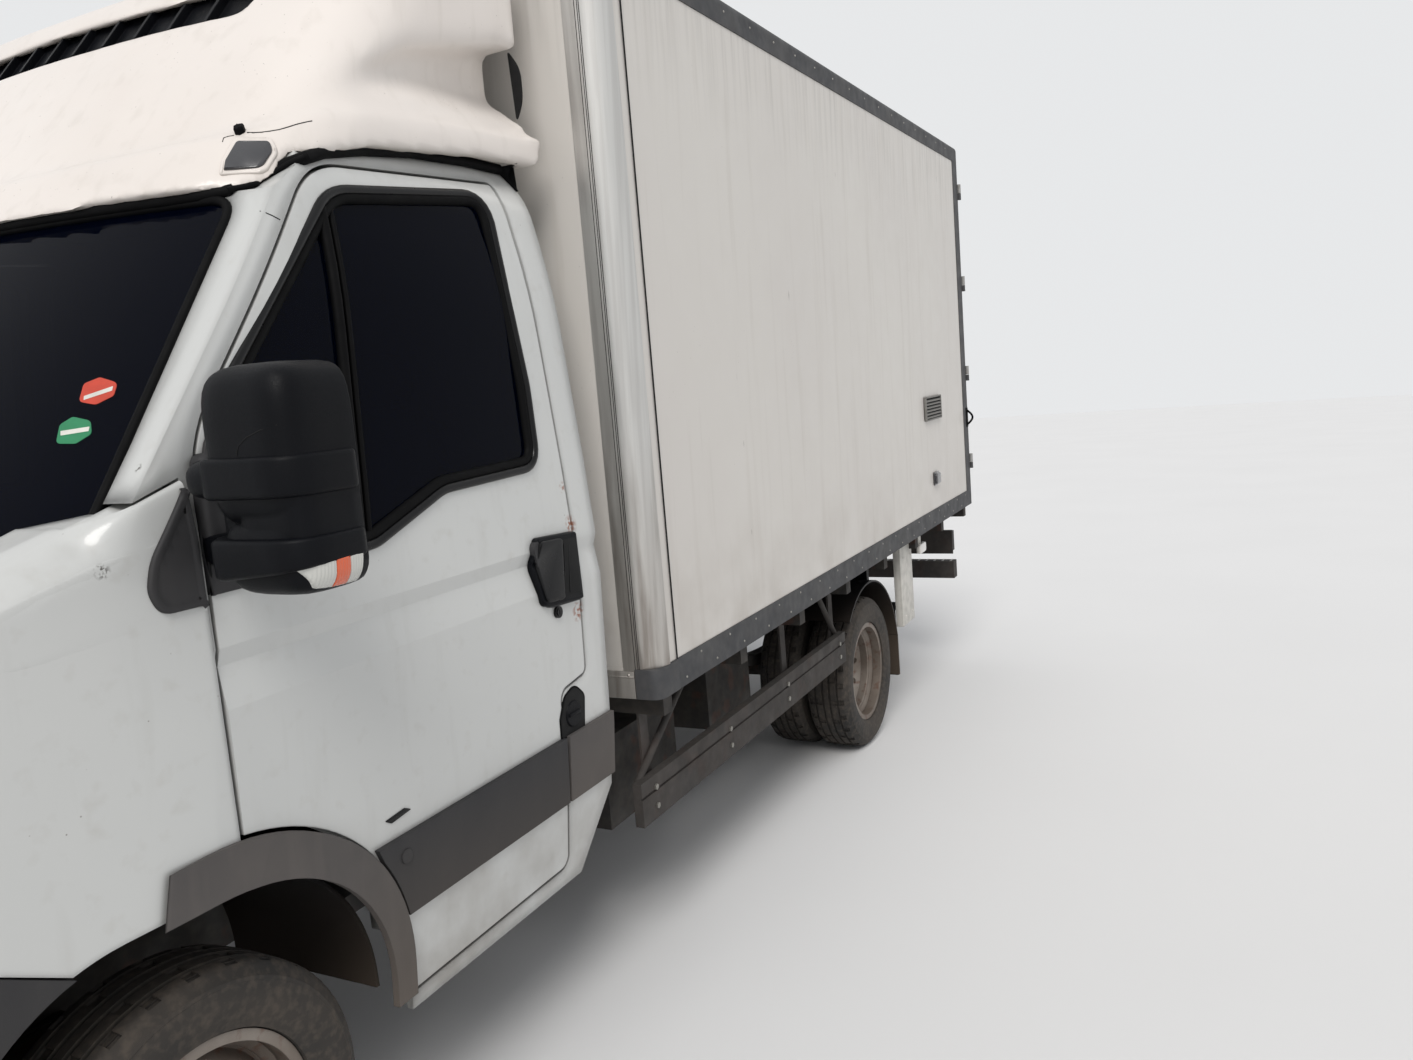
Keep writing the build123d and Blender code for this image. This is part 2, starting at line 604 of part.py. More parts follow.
def fairing_form(inset):
    """The roof fairing's outside, leaning back at the windscreen's slope."""
    z0 = 2000
    x0 = screen_x(z0) - inset / sin(screen_slope)
    w = FAIRING_HALF_WIDTH - inset
    corner_x = x0 - SCREEN_SAG * 0.86
    arc = ThreePointArc((corner_x, -w), (x0, 0), (corner_x, w))
    rest = Polyline((corner_x, w), (x0 - 1300, w), (x0 - 1300, -w), (corner_x, -w))
    plan = make_face([arc, rest])
    front = plan.vertices().sort_by(Axis.X)[-2:]
    plan = fillet(front, FAIRING_CORNER - inset)
    body = extrude(Pos(0, 0, z0) * plan, amount=1200, dir=screen_dir)
    side = outline([(FAIRING_REAR_X, 1900, 0), (FAIRING_REAR_X, FAIRING_TOP, 0), (-1000, 2775, 900),
                    (screen_x(2660), 2668, 40), (200, 1900, 0)])
    return body & along_y(inward(side, inset), -1200, 1200)


def duct(grow=0):
    """The hollow in the fairing's left side, widening and deepening towards the rear."""
    sections = []
    for x, high, depth, floor, ridge in DUCT_STATIONS:
        inner = FAIRING_HALF_WIDTH - depth - grow
        face = sharp([(1100, high + grow), (inner, high + grow - 4), (inner, floor - grow),
                      (FAIRING_HALF_WIDTH + SKIRT_PROUD + 4, ridge - grow), (1100, ridge - grow)])
        sections.append(Pos(x, 0, 0) * (Plane.YZ * face))
    return loft(sections, ruled=True)


def roof_fairing():
    """The moulded shell over the cab roof with its side ducts, lower skirt and intake slot."""
    low = [(x, z + SEAT) for x, z in DRIP_LINE]
    ridge = [(x, ridge) for x, _, _, _, ridge in DUCT_STATIONS]
    skirt = sharp(low + ridge[::-1] + [(-470, 2235), (-200, 2170)])
    above = sharp(low + [(CAB_REAR_X - 100, DRIP_LINE[-1][1]), (CAB_REAR_X - 100, 3000), (-150, 3000)])
    outside = fairing_form(0) + (fairing_form(-SKIRT_PROUD) & along_y(skirt, -1200, 1200))
    hollow = fairing_form(FAIRING_WALL) + block(FAIRING_REAR_X - 10, -1200, -FAIRING_HALF_WIDTH + 60,
                                               FAIRING_HALF_WIDTH - 60, 2200, FAIRING_TOP - 60)
    for hole, wall in zip(both(duct()), both(duct(FAIRING_WALL))):
        outside -= hole
        hollow -= wall
    shell = (outside - hollow) & along_y(above, -1200, 1200)
    shell -= greenhouse(-SEAT) - ahead_of_screen(FAIRING_WALL + 4)
    return shell - block(-1000, 0, -SLOT_HALF_WIDTH, SLOT_HALF_WIDTH, SLOT_LOW, SLOT_HIGH)


def fairing_grille():
    """Backing plate and upright bars in the intake slot."""
    plate = fairing_form(FAIRING_WALL + SEAT) - fairing_form(FAIRING_WALL + 15)
    grid = plate & block(-1000, 0, -SLOT_HALF_WIDTH - 10, SLOT_HALF_WIDTH + 10, SLOT_LOW - 12, SLOT_HIGH + 12)
    bars = fairing_form(8) - fairing_form(FAIRING_WALL + 1)
    count = 12
    pitch = 2 * SLOT_HALF_WIDTH / count
    for step in range(1, count):
        y = step * pitch - SLOT_HALF_WIDTH
        grid += bars & block(-1000, 0, y - 4, y + 4, SLOT_LOW + SEAT, SLOT_HIGH - SEAT)
    return grid


def frame_rails():
    """Two channel rails with tubular cross members and the spring hangers."""
    low = RAIL_TOP - RAIL_DEPTH
    rails = []
    for side in (1, -1):
        outer, inner = side * RAIL_OUTER_Y, side * (RAIL_OUTER_Y - RAIL_FLANGE)
        web = side * (RAIL_OUTER_Y - RAIL_WEB)
        y0, y1 = sorted((outer, inner))
        rail = block(RAIL_REAR_X, RAIL_FRONT_X, y0, y1, low, RAIL_TOP)
        y0, y1 = sorted((web, inner - side))
        rail -= block(RAIL_REAR_X - 1, RAIL_FRONT_X + 1, y0, y1, low + RAIL_WEB, RAIL_TOP - RAIL_WEB)
        rails.append(rail)
    body = rails[0] + rails[1]
    for x in CROSS_MEMBERS:
        body += tube_y(x, RAIL_TOP - RAIL_DEPTH / 2, 40, RAIL_WEB - RAIL_OUTER_Y, RAIL_OUTER_Y - RAIL_WEB)
    for x in (SPRING_FRONT_X, SPRING_REAR_X):
        for hanger in both(block(x - 40, x + 40, RAIL_OUTER_Y, RAIL_OUTER_Y + 18, SPRING_EYE_Z - 45,
                                 RAIL_TOP - 30)):
            body += hanger
        for pin in both(tube_y(x, SPRING_EYE_Z, 14, RAIL_OUTER_Y, SPRING_Y + 34)):
            body += pin
    return body


def box_subframe():
    """Two runners along the rails, with the cross bearers of the load floor lying on them."""
    y = BOX_HALF_WIDTH - 25
    found = both(block(BOX_REAR_X + 30, BOX_FRONT_X - 30, RAIL_OUTER_Y - RAIL_FLANGE, RAIL_OUTER_Y,
                       RAIL_TOP + SEAT, bearer_low - SEAT))
    for x in bearer_x:
        found.append(block(x - 25, x + 25, -y, y, bearer_low, BOX_BOTTOM - SEAT))
    return found


def rear_axle():
    """Axle tube with its differential, brake drums, leaf springs and the propeller shaft."""
    x, z = -WHEELBASE, TYRE_RADIUS
    reach = rear_wheel_y - TWIN_SPACING / 2 - 20
    body = tube_y(x, z, 45, -reach, reach) + Pos(x, 0, z) * Sphere(150)
    body += tube_x(0, z, 60, x, x + 260)
    face = rear_wheel_y - TWIN_SPACING / 2
    drum = tube_y(x, z, 150, reach - 115, reach - 62) + tube_y(x, z, STUB_RADIUS, 0, face + STUB_REACH)
    for side in both(drum):
        body += side
    rear, front = (SPRING_REAR_X, SPRING_EYE_Z + 30), (SPRING_FRONT_X, SPRING_EYE_Z + 30)
    low_rear, low_front = (SPRING_REAR_X, SPRING_EYE_Z + 12), (SPRING_FRONT_X, SPRING_EYE_Z + 12)
    leaf = make_face([ThreePointArc(rear, (x, z + 105), front), Line(front, low_front),
                      ThreePointArc(low_front, (x, z + 50), low_rear), Line(low_rear, rear)])
    for spring in both(along_y(leaf, SPRING_Y - 32, SPRING_Y + 32)):
        body += spring
    for seat in both(block(x - 60, x + 60, SPRING_Y - 38, SPRING_Y + 38, z, z + 60)):
        body += seat
    for eye_x in (SPRING_FRONT_X, SPRING_REAR_X):
        for eye in both(tube_y(eye_x, SPRING_EYE_Z, 32, SPRING_Y - 30, SPRING_Y + 32)):
            body += eye
        for bore in both(tube_y(eye_x, SPRING_EYE_Z, 14 + SEAT, SPRING_Y - 60, SPRING_Y + 60)):
            body -= bore
    run_x, run_z = GEARBOX_REAR_X - (x + 260), GEARBOX_Z - z
    length = (run_x ** 2 + run_z ** 2) ** 0.5
    shaft = Pos(x + 260, 0, z) * Rot(0, 90 - degrees(atan2(run_z, run_x)), 0)
    return body + shaft * Pos(0, 0, length / 2 - 4) * Cylinder(34, length - 10)


def engine_block():
    """Engine and gearbox as one plain block."""
    engine = block(120, 720, -230, 230, 455, 1080)
    gearbox = block(GEARBOX_REAR_X + 2, 120, -140, 140, 440, 690)
    reach = RAIL_OUTER_Y - RAIL_WEB - SEAT
    low = RAIL_TOP - RAIL_DEPTH + RAIL_WEB + SEAT
    body = engine + gearbox
    for x in ENGINE_MOUNTS:
        body += block(x - 35, x + 35, -reach, reach, low, low + 40)
    return body


def wishbone(side, z, root_y):
    """One flat arm from the cross member to the cup of its ball joint."""
    x_ball = -(z - front_wheel_z) * tan(rake)
    face = sharp([(-78, side * root_y), (78, side * root_y), (x_ball + 30, side * (KINGPIN_Y - 8)),
                  (x_ball - 30, side * (KINGPIN_Y - 8))])
    arm = along_z(face, z - 12, z + 12) + tube_z(x_ball, side * KINGPIN_Y, 34, z - 14, z + 14)
    return arm - tube_z(x_ball, side * KINGPIN_Y, BALL_RADIUS + SEAT, z - 40, z + 40)


def front_suspension():
    """Cross member under the rails with its upper and lower wishbones."""
    high = RAIL_TOP - RAIL_DEPTH - SEAT
    body = block(-80, 80, -RAIL_OUTER_Y - 20, RAIL_OUTER_Y + 20, CROSS_MEMBER_LOW, high)
    for side in (1, -1):
        y0, y1 = sorted((side * (RAIL_OUTER_Y + SEAT), side * (RAIL_OUTER_Y + 20)))
        body += block(-80, 80, y0, y1, CROSS_MEMBER_LOW, UPPER_ARM_Z + 14)
        for arm_z in (UPPER_ARM_Z, LOWER_ARM_Z):
            body += wishbone(side, arm_z, RAIL_OUTER_Y + 10)
    return body - block(-200, 800, -235, 235, 430, 700)


def left_knuckle():
    """Upright with two ball pins and the wheel's spindle, plumb about the steering axis."""
    low, high = LOWER_ARM_Z - front_wheel_z, UPPER_ARM_Z - front_wheel_z
    body = block(-34, 34, -30, 36, low + 30, high - 30) + tube_z(0, 0, 11, low, high)
    for z in (low, high):
        body += Pos(0, 0, z) * Sphere(BALL_RADIUS)
    body += tube_y(0, 0, SPINDLE_RADIUS, 0, front_wheel_y - KINGPIN_Y + SPINDLE_REACH)
    body += block(-120, -30, -30, 0, -70, -40)
    return Pos(0, KINGPIN_Y, front_wheel_z) * Rot(0, -degrees(rake), 0) * body


def tyre():
    """One tyre about the origin, its axle along Y."""
    half, flange = TYRE_WIDTH / 2, RIM_WIDTH / 2
    bead = RIM_FLANGE_RADIUS - 14
    side = [(bead, flange - 6, 0), (RIM_FLANGE_RADIUS + 1, flange - 6, 0),
            (RIM_FLANGE_RADIUS + 3, flange + 6, 5), (bead + 60, half, 50), (TYRE_RADIUS - 20, half - 8, 25),
            (TYRE_RADIUS, half - 26, 15)]
    profile = side + [(r, -y, f) for r, y, f in reversed(side)]
    return revolve(outline(profile), axis=Axis.Y)


def rim(outside, hub, bore):
    """One wheel about the origin: barrel, pierced disc whose face is at Y = outside, hub and its bore.

    hub and bore are (radius, low Y, high Y).
    """
    flange, seat_r = RIM_WIDTH / 2, RIM_FLANGE_RADIUS - 14 - SEAT
    inner = [(RIM_FLANGE_RADIUS, flange), (seat_r - 6, flange), (seat_r - 6, flange - 40),
             (DROP_RADIUS - 6, flange - 58)]
    outer = [(RIM_FLANGE_RADIUS, flange - 6 + SEAT), (seat_r, flange - 6 + SEAT), (seat_r, flange - 34),
             (DROP_RADIUS, flange - 52)]
    barrel = [(r, -y) for r, y in inner] + inner[::-1] + outer + [(r, -y) for r, y in outer[::-1]]
    body = revolve(sharp(barrel), axis=Axis.Y)
    disc = sharp([(20, outside - 9), (20, outside), (HUB_RADIUS + 22, outside),
                  (HUB_RADIUS + 46, outside - 34), (DROP_RADIUS - 3, 19), (DROP_RADIUS - 3, 8),
                  (HUB_RADIUS + 38, outside - 43), (HUB_RADIUS + 18, outside - 9)])
    face = revolve(disc, axis=Axis.Y)
    for hole in range(HAND_HOLES):
        spot = Rot(0, 360 * hole / HAND_HOLES, 0) * Pos(HUB_RADIUS + 66, outside - 50, 0) * Rot(90, 0, 0)
        face -= spot * Cylinder(15, 100)
    return body + face + tube_y(0, 0, *hub) - tube_y(0, 0, *bore)


def left_front_wheel():
    """Tyre and rim of the steered wheel, its hub running on the spindle."""
    spot = Pos(0, front_wheel_y, front_wheel_z)
    hub = (56, -40, DISC_OFFSET + 14)
    bore = (SPINDLE_RADIUS + SEAT, -60, SPINDLE_REACH + SEAT)
    return spot * tyre(), spot * rim(DISC_OFFSET, hub, bore)


def left_rear_wheels():
    """Twin tyres and rims, their discs back to back on the axle's stub."""
    outer = Pos(-WHEELBASE, rear_wheel_y, TYRE_RADIUS)
    inner = Pos(-WHEELBASE, rear_wheel_y - TWIN_SPACING, TYRE_RADIUS)
    face = TWIN_SPACING / 2 - SEAT / 2
    stub = (STUB_RADIUS + SEAT, face - STUB_REACH - SEAT, face + 60)
    dished = mirror(rim(face, (60, face - STUB_REACH - 25, face), stub), about=Plane.XZ)
    plain = rim(face, (50, face - 9, face), (STUB_RADIUS + SEAT, face - 60, face + 60))
    return (outer * tyre(), inner * tyre()), (outer * dished, inner * plain)


def left_box_side():
    """One insulated side wall."""
    return block(BOX_REAR_X + FRAME_DEPTH, BOX_FRONT_X - POST_FLANGE, BOX_HALF_WIDTH - BOX_WALL,
                 BOX_HALF_WIDTH - 3, BOX_BOTTOM + RAIL_HEIGHT, BOX_TOP - RAIL_HEIGHT)


def box_front_wall():
    """The insulated bulkhead behind the cab, between the corner posts."""
    y = BOX_HALF_WIDTH - POST_WIDTH
    x = BOX_FRONT_X - POST_FLANGE
    wall = block(x, BOX_FRONT_X - 2, -y, y, BOX_BOTTOM + RAIL_HEIGHT, BOX_TOP - ROOF_THICK)
    return wall + block(x, BOX_FRONT_X, -y, y, BOX_BOTTOM, BOX_BOTTOM + RAIL_HEIGHT)


def box_floor():
    """Load floor between the walls."""
    y = BOX_HALF_WIDTH - BOX_WALL
    return block(BOX_REAR_X + FRAME_DEPTH, BOX_FRONT_X - POST_FLANGE, -y, y, BOX_BOTTOM,
                 BOX_BOTTOM + BOX_FLOOR)


def box_roof():
    """Roof panel between the top rails."""
    y = BOX_HALF_WIDTH - BOX_WALL
    return block(BOX_REAR_X + FRAME_DEPTH, BOX_FRONT_X, -y, y, BOX_TOP - ROOF_THICK, BOX_TOP)


def left_corner_post():
    """Quarter-round front corner extrusion with its foot casting."""
    edge = BOX_HALF_WIDTH - POST_WIDTH
    plan = outline([(BOX_FRONT_X, edge, 0), (BOX_FRONT_X, BOX_HALF_WIDTH, POST_FLANGE - 2),
                    (BOX_FRONT_X - POST_FLANGE, BOX_HALF_WIDTH, 0), (BOX_FRONT_X - POST_FLANGE, edge, 0)])
    return along_z(plan, BOX_BOTTOM, BOX_TOP - ROOF_THICK)


def left_box_rails():
    """Bottom and top edge rails of one side."""
    x0, x1 = BOX_REAR_X + FRAME_DEPTH, BOX_FRONT_X - POST_FLANGE
    inner = BOX_HALF_WIDTH - BOX_WALL
    low = block(x0, x1, inner, BOX_HALF_WIDTH, BOX_BOTTOM, BOX_BOTTOM + RAIL_HEIGHT)
    section = outline([(inner, BOX_TOP - RAIL_HEIGHT, 0), (BOX_HALF_WIDTH, BOX_TOP - RAIL_HEIGHT, 0),
                       (BOX_HALF_WIDTH, BOX_TOP, 28), (inner, BOX_TOP, 0)])
    return low, along_x(section, x0, x1)


def rear_frame():
    """The frame round the rear doorway, with the fixed halves of the hinges."""
    outside = along_x(outline([(-BOX_HALF_WIDTH, BOX_BOTTOM, 0), (BOX_HALF_WIDTH, BOX_BOTTOM, 0),
                               (BOX_HALF_WIDTH, BOX_TOP, 28), (-BOX_HALF_WIDTH, BOX_TOP, 28)]),
                      BOX_REAR_X, BOX_REAR_X + FRAME_DEPTH)
    y = BOX_HALF_WIDTH - POST_WIDTH
    frame = outside - block(BOX_REAR_X - 1, BOX_REAR_X + FRAME_DEPTH + 1, -y, y, BOX_BOTTOM + BOX_FLOOR,
                            BOX_TOP - ROOF_THICK)
    for z in hinge_heights:
        leaf = block(rear_hinge_x, BOX_REAR_X, BOX_HALF_WIDTH - 45, rear_hinge_y, z - 60, z - 26)
        for half in both(leaf + tube_z(rear_hinge_x, rear_hinge_y, HINGE_RADIUS, z - 60, z - 26)):
            frame += half
    return frame


def left_rear_door():
    """One insulated rear door, inset in the frame."""
    y = BOX_HALF_WIDTH - POST_WIDTH - DOOR_GAP
    return block(BOX_REAR_X, BOX_REAR_X + DOOR_THICK, MIDDLE_GAP / 2, y, rear_door_low, rear_door_high)


def left_rear_door_gear():
    """Hinge straps, lock bars with their guides, and the handle, on one rear door."""
    found = []
    y_edge = BOX_HALF_WIDTH - POST_WIDTH - DOOR_GAP
    low, high = rear_door_low, rear_door_high
    grip_z = low + LOCK_HANDLE_RISE
    for z in hinge_heights:
        strap = block(BOX_REAR_X - SEAT - 8, BOX_REAR_X - SEAT, y_edge - 190, rear_hinge_y, z - 24, z + 24)
        strap += tube_z(rear_hinge_x, rear_hinge_y, HINGE_RADIUS, z - 24, z + 24)
        found.append(strap - block(BOX_REAR_X - 4, BOX_REAR_X + 20, y_edge, BOX_HALF_WIDTH, z - 60, z + 60))
    for y in LOCK_BARS:
        bar = tube_z(BOX_REAR_X - 26, y, 12, low + 5, high - 5)
        for z in (low + 60, low + 520, high - 520, high - 60):
            bar += block(BOX_REAR_X - 40, BOX_REAR_X - SEAT, y - 28, y + 28, z - 22, z + 22)
        bar += block(BOX_REAR_X - 42, BOX_REAR_X - 30, y - 12, y + 180, grip_z - 15, grip_z + 15)
        found.append(bar)
    return found


def left_side_guard():
    """The side guard board with its hangers from the bearers."""
    board = block(GUARD_REAR_X, GUARD_FRONT_X, GUARD_Y - 28, GUARD_Y, GUARD_LOW, GUARD_HIGH)
    board -= block(GUARD_REAR_X - 1, GUARD_FRONT_X + 1, GUARD_Y - 5, GUARD_Y + 1, GUARD_HIGH - 48,
                   GUARD_HIGH - 40)
    for x in [bearer_x[spot] for spot in GUARD_BEARERS]:
        board += block(x - 22, x + 22, GUARD_Y - 48, GUARD_Y - 40, GUARD_LOW + 20, bearer_low - SEAT)
        board += block(x - 22, x + 22, GUARD_Y - 48, GUARD_Y - 28, GUARD_LOW + 20, GUARD_HIGH - 20)
    return board


def left_mudguard():
    """Arched guard over the twin tyres with a hanging flap behind them."""
    x, z = -WHEELBASE, TYRE_RADIUS + 10
    inner, outer = MUDGUARD_RADIUS, MUDGUARD_RADIUS + 8
    y0, y1 = RAIL_OUTER_Y + 110, REAR_SIDEWALL_Y + 12
    ring = tube_y(x, z, outer, y0, y1) - tube_y(x, z, inner, y0 - 1, y1 + 1)
    ring &= block(x - outer - 1, x, y0 - 1, y1 + 1, z + 60, z + outer + 1) + block(
        x, x + outer + 1, y0 - 1, y1 + 1, GUARD_HIGH + 20, z + outer + 1)
    flap = block(x - outer, x - outer + 10, y0, y1, 205, z + 61)
    stay_x = bearer_x[MUDGUARD_BEARER]
    stay = block(stay_x - 15, stay_x + 15, y0 + 40, y1 - 40, z + outer - 40, bearer_low - SEAT)
    return ring + flap + (stay - tube_y(x, z, inner, y0 - 1, y1 + 1))


def rear_bumper():
    """Under-run bar on two stays from the rails, with the lamp brackets."""
    x = RAIL_REAR_X
    bar = block(x - 90, x - 20, -960, 960, 420, 520)
    for stay in both(block(x - 60, x + 160, RAIL_OUTER_Y + SEAT, RAIL_OUTER_Y + 12, 450, RAIL_TOP - 20)):
        bar += stay
    for plate in both(block(x - 62, x - 50, RAIL_OUTER_Y + 2, 950, 560, 700)):
        bar += plate
    bar += block(x - 160, x - 85, -60, 60, TOW_PLATE_Z - TOW_PLATE_THICK / 2,
                 TOW_PLATE_Z + TOW_PLATE_THICK / 2)
    return bar - tube_z(x - 125, 0, TOW_BORE_RADIUS, 400, 540)


def left_tail_lamp():
    """Rear lamp cluster on its bracket."""
    x = RAIL_REAR_X - 62 - SEAT
    return block(x - 55, x, 590, 945, 575, 690)


def fuel_tank():
    """Tank on the right-hand rail, with its straps' brackets."""
    section = outline([(-RAIL_OUTER_Y - 20, 400, 40), (-RAIL_OUTER_Y - 20, 690, 40), (-860, 690, 60),
                       (-860, 400, 60)])
    tank = along_x(section, -2150, -1420)
    for x in (-2000, -1570):
        tank += block(x - 20, x + 20, -RAIL_OUTER_Y - 60, -RAIL_OUTER_Y - SEAT, 560, 700)
    return tank


def service_boxes():
    """Battery box and a smaller locker on the left-hand rail."""
    found = []
    for x0, x1, y1, low, high in ((-1860, -1440, 830, 430, 700), (-2560, -2200, 780, 470, 690)):
        found.append(block(x0, x1, RAIL_OUTER_Y + SEAT, y1, low, high))
    return found


def exhaust():
    """Silencer and pipe along the right-hand side, ending ahead of the rear wheels."""
    y = -RAIL_OUTER_Y - 150
    pipe = tube_x(y, 520, 26, -2960, -2200)
    silencer = tube_x(y, 520, 95, -2760, -2260)
    turn = Pos(-2960, y, 520) * Sphere(26) + tube_y(-2960, 520, 26, y - 230, y)
    hook = block(-2560, -2520, y - 12, y + 12, 600, RAIL_TOP - 60)
    hook += block(-2560, -2520, y - 12, -RAIL_OUTER_Y - SEAT, RAIL_TOP - 100, RAIL_TOP - 60)
    return pipe + silencer + turn + hook


def fridge_unit():
    """The cooling unit on the box's front wall, inside the fairing."""
    return block(BOX_FRONT_X + SEAT - 2, FRIDGE_FRONT_X, -500, 500, BOX_TOP - FRIDGE_DROP - FRIDGE_HEIGHT,
                 BOX_TOP - FRIDGE_DROP)


for name, shapes in (("door", [left_door()]), ("door_glass", [left_glass()]), ("door_trim", left_door_trim()),
                     ("mirror", [left_mirror()]), ("rear_door", [left_rear_door()]),
                     ("rear_door_gear", left_rear_door_gear()), ("knuckle", [left_knuckle()])):
    pairs = [both(shape) for shape in shapes]
    add(name + "_left", *[pair[0] for pair in pairs])
    add(name + "_right", *[pair[1] for pair in pairs])
for name, shapes in (("front_tyre", left_front_wheel()[:1]), ("front_rim", left_front_wheel()[1:]),
                     ("rear_tyres", left_rear_wheels()[0]), ("rear_rims", left_rear_wheels()[1])):
    pairs = [both(shape) for shape in shapes]
    add(name + "_left", *[pair[0] for pair in pairs])
    add(name + "_right", *[pair[1] for pair in pairs])
for name, shapes in (("cab_sides", left_side_frame()), ("fenders", [left_fender()]),
                     ("headlamps", [left_headlamp()]),
                     ("arch_trims", [left_arch_trim(), corner_cladding()]), ("wheel_liners", [wheel_liner()]),
                     ("box_sides", [left_box_side()]), ("corner_posts", [left_corner_post()]),
                     ("box_rails", left_box_rails()), ("side_guards", [left_side_guard()]),
                     ("mudguards", [left_mudguard()]), ("tail_lamps", [left_tail_lamp()])):
    add(name, *[half for shape in shapes for half in both(shape)])
for make in (cab_roof, cab_rear_panel, cab_floor, bonnet, cowl, windscreen, grille, bumper, dashboard,
             roof_fairing, fairing_grille, fridge_unit, frame_rails, rear_axle, engine_block,
             front_suspension, box_front_wall, box_floor, box_roof, rear_frame, rear_bumper, fuel_tank, exhaust):
    add(make.__name__, make())
for make in (seats, service_boxes, box_subframe):
    add(make.__name__, *make())

# Tilt about the rear axle and set the origin under the middle of the truck
tilt = Pos(-WHEELBASE, 0, TYRE_RADIUS) * Rot(0, degrees(rake), 0) * Pos(WHEELBASE, 0, -TYRE_RADIUS)
placed = {name: Compound([tilt * solid for solid in solids]) for name, solids in pieces.items()}
boxes = [shape.bounding_box() for shape in placed.values()]
low_x, high_x = min(b.min.X for b in boxes), max(b.max.X for b in boxes)
shift = Pos(-(low_x + high_x) / 2, 0, -min(b.min.Z for b in boxes))
os.makedirs("parts", exist_ok=True)
for name, shape in placed.items():
    export_step(shift * shape, f"parts/{name}.step")
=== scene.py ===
"""Finishes, glass, lamps, tyres, seals and small fittings of a light refrigerated truck.

Metres. Details on the sprung body are laid out in the body's own frame, X forward from the front axle,
Y to the left and Z up at right angles to the load floor, and are tilted with it when they are finished.
"""
import json
from math import atan2, cos, pi, radians, sin

import bmesh
import bpy
from mathutils import Matrix, Vector
from mathutils.bvhtree import BVHTree

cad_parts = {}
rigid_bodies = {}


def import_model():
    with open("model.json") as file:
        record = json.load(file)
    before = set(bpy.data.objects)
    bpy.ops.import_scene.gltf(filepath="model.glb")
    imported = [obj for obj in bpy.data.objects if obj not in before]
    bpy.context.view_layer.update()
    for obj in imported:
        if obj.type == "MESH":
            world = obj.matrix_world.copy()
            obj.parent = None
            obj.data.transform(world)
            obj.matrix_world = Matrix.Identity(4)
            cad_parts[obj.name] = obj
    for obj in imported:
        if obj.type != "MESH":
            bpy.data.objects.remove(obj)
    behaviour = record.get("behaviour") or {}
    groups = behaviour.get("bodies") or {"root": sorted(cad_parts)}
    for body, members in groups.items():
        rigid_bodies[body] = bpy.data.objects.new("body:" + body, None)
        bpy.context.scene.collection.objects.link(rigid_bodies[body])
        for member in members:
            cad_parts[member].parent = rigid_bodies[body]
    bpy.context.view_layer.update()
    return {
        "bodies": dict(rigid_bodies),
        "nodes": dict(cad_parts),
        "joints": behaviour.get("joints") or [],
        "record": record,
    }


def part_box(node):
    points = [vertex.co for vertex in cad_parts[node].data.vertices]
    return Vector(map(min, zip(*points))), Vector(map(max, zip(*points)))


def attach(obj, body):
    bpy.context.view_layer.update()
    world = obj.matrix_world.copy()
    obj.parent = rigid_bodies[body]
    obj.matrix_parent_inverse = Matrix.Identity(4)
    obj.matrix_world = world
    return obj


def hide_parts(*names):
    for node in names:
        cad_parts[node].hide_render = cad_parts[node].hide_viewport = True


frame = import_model()
nodes = frame["nodes"]

# Driving sizes of the body's frame
WHEELBASE = 3.45
TYRE_RADIUS = 0.335
TWIN_SPACING = 0.22
BOX_SIDE = 1.055
BOX_FRONT, BOX_REAR = -1.40, -5.21
BOX_LOW, BOX_HIGH = 0.846, 2.855
RAIL_HEIGHT = 0.087

# The photograph's camera in the body's frame
CAMERA_PLACE = (1.0496, 2.4752, 1.7105)
CAMERA_RIGHT = (-0.4397, 0.8945, -0.0804)
CAMERA_DOWN = (0.1632, -0.0084, -0.9866)
CAMERA_AHEAD = (-0.8832, -0.4469, -0.1423)
CAMERA_LENS = 27.37
IMAGE_MIDDLE = (706.5, 530.0)
FOCAL_PIXELS = 1074.2


def middle(node):
    """The centre of a node's box, in the truck's frame."""
    low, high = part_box(node)
    return (low + high) / 2


hinge = next(joint for joint in frame["joints"] if joint["name"] == "rear_door_left_hinge")
rake = atan2(-hinge["axis"][0], -hinge["axis"][2])
rear_axle = middle("rear_tyres_left")
TILT = (Matrix.Translation((rear_axle.x, 0, rear_axle.z)) @ Matrix.Rotation(rake, 4, "Y")
        @ Matrix.Translation((WHEELBASE, 0, -TYRE_RADIUS)))
UNTILT = TILT.inverted()

trees = {}


def skin(name):
    """The surface of a node or of a finished piece, ready for rays, in the truck's frame."""
    if name not in trees:
        mesh = nodes[name].data if name in nodes else bpy.data.objects[name].data
        trees[name] = BVHTree.FromPolygons([v.co.copy() for v in mesh.vertices],
                                           [tuple(p.vertices) for p in mesh.polygons])
    return trees[name]


def land(start, direction, *names):
    """Where a ray in the body's frame first meets one of the surfaces, with its normal."""
    start, direction = TILT @ Vector(start), (TILT.to_3x3() @ Vector(direction)).normalized()
    found = [hit for hit in (skin(name).ray_cast(start, direction) for name in names) if hit[0]]
    if not found:
        return None
    spot, normal, _, _ = min(found, key=lambda hit: hit[3])
    return UNTILT @ spot, UNTILT.to_3x3() @ normal


def under_pixel(across, down, *names):
    """The place on the object that the photograph shows at a pixel."""
    aside, below = (across - IMAGE_MIDDLE[0]) / FOCAL_PIXELS, (down - IMAGE_MIDDLE[1]) / FOCAL_PIXELS
    direction = aside * Vector(CAMERA_RIGHT) + below * Vector(CAMERA_DOWN) + Vector(CAMERA_AHEAD)
    return land(CAMERA_PLACE, direction, *names)[0]


def srgb(red, green, blue):
    """A colour as a paint chart gives it, 0 to 255, turned into light values."""
    parts = [(v / 255 / 12.92) if v < 11 else ((v / 255 + 0.055) / 1.055) ** 2.4 for v in (red, green, blue)]
    return (*parts, 1.0)


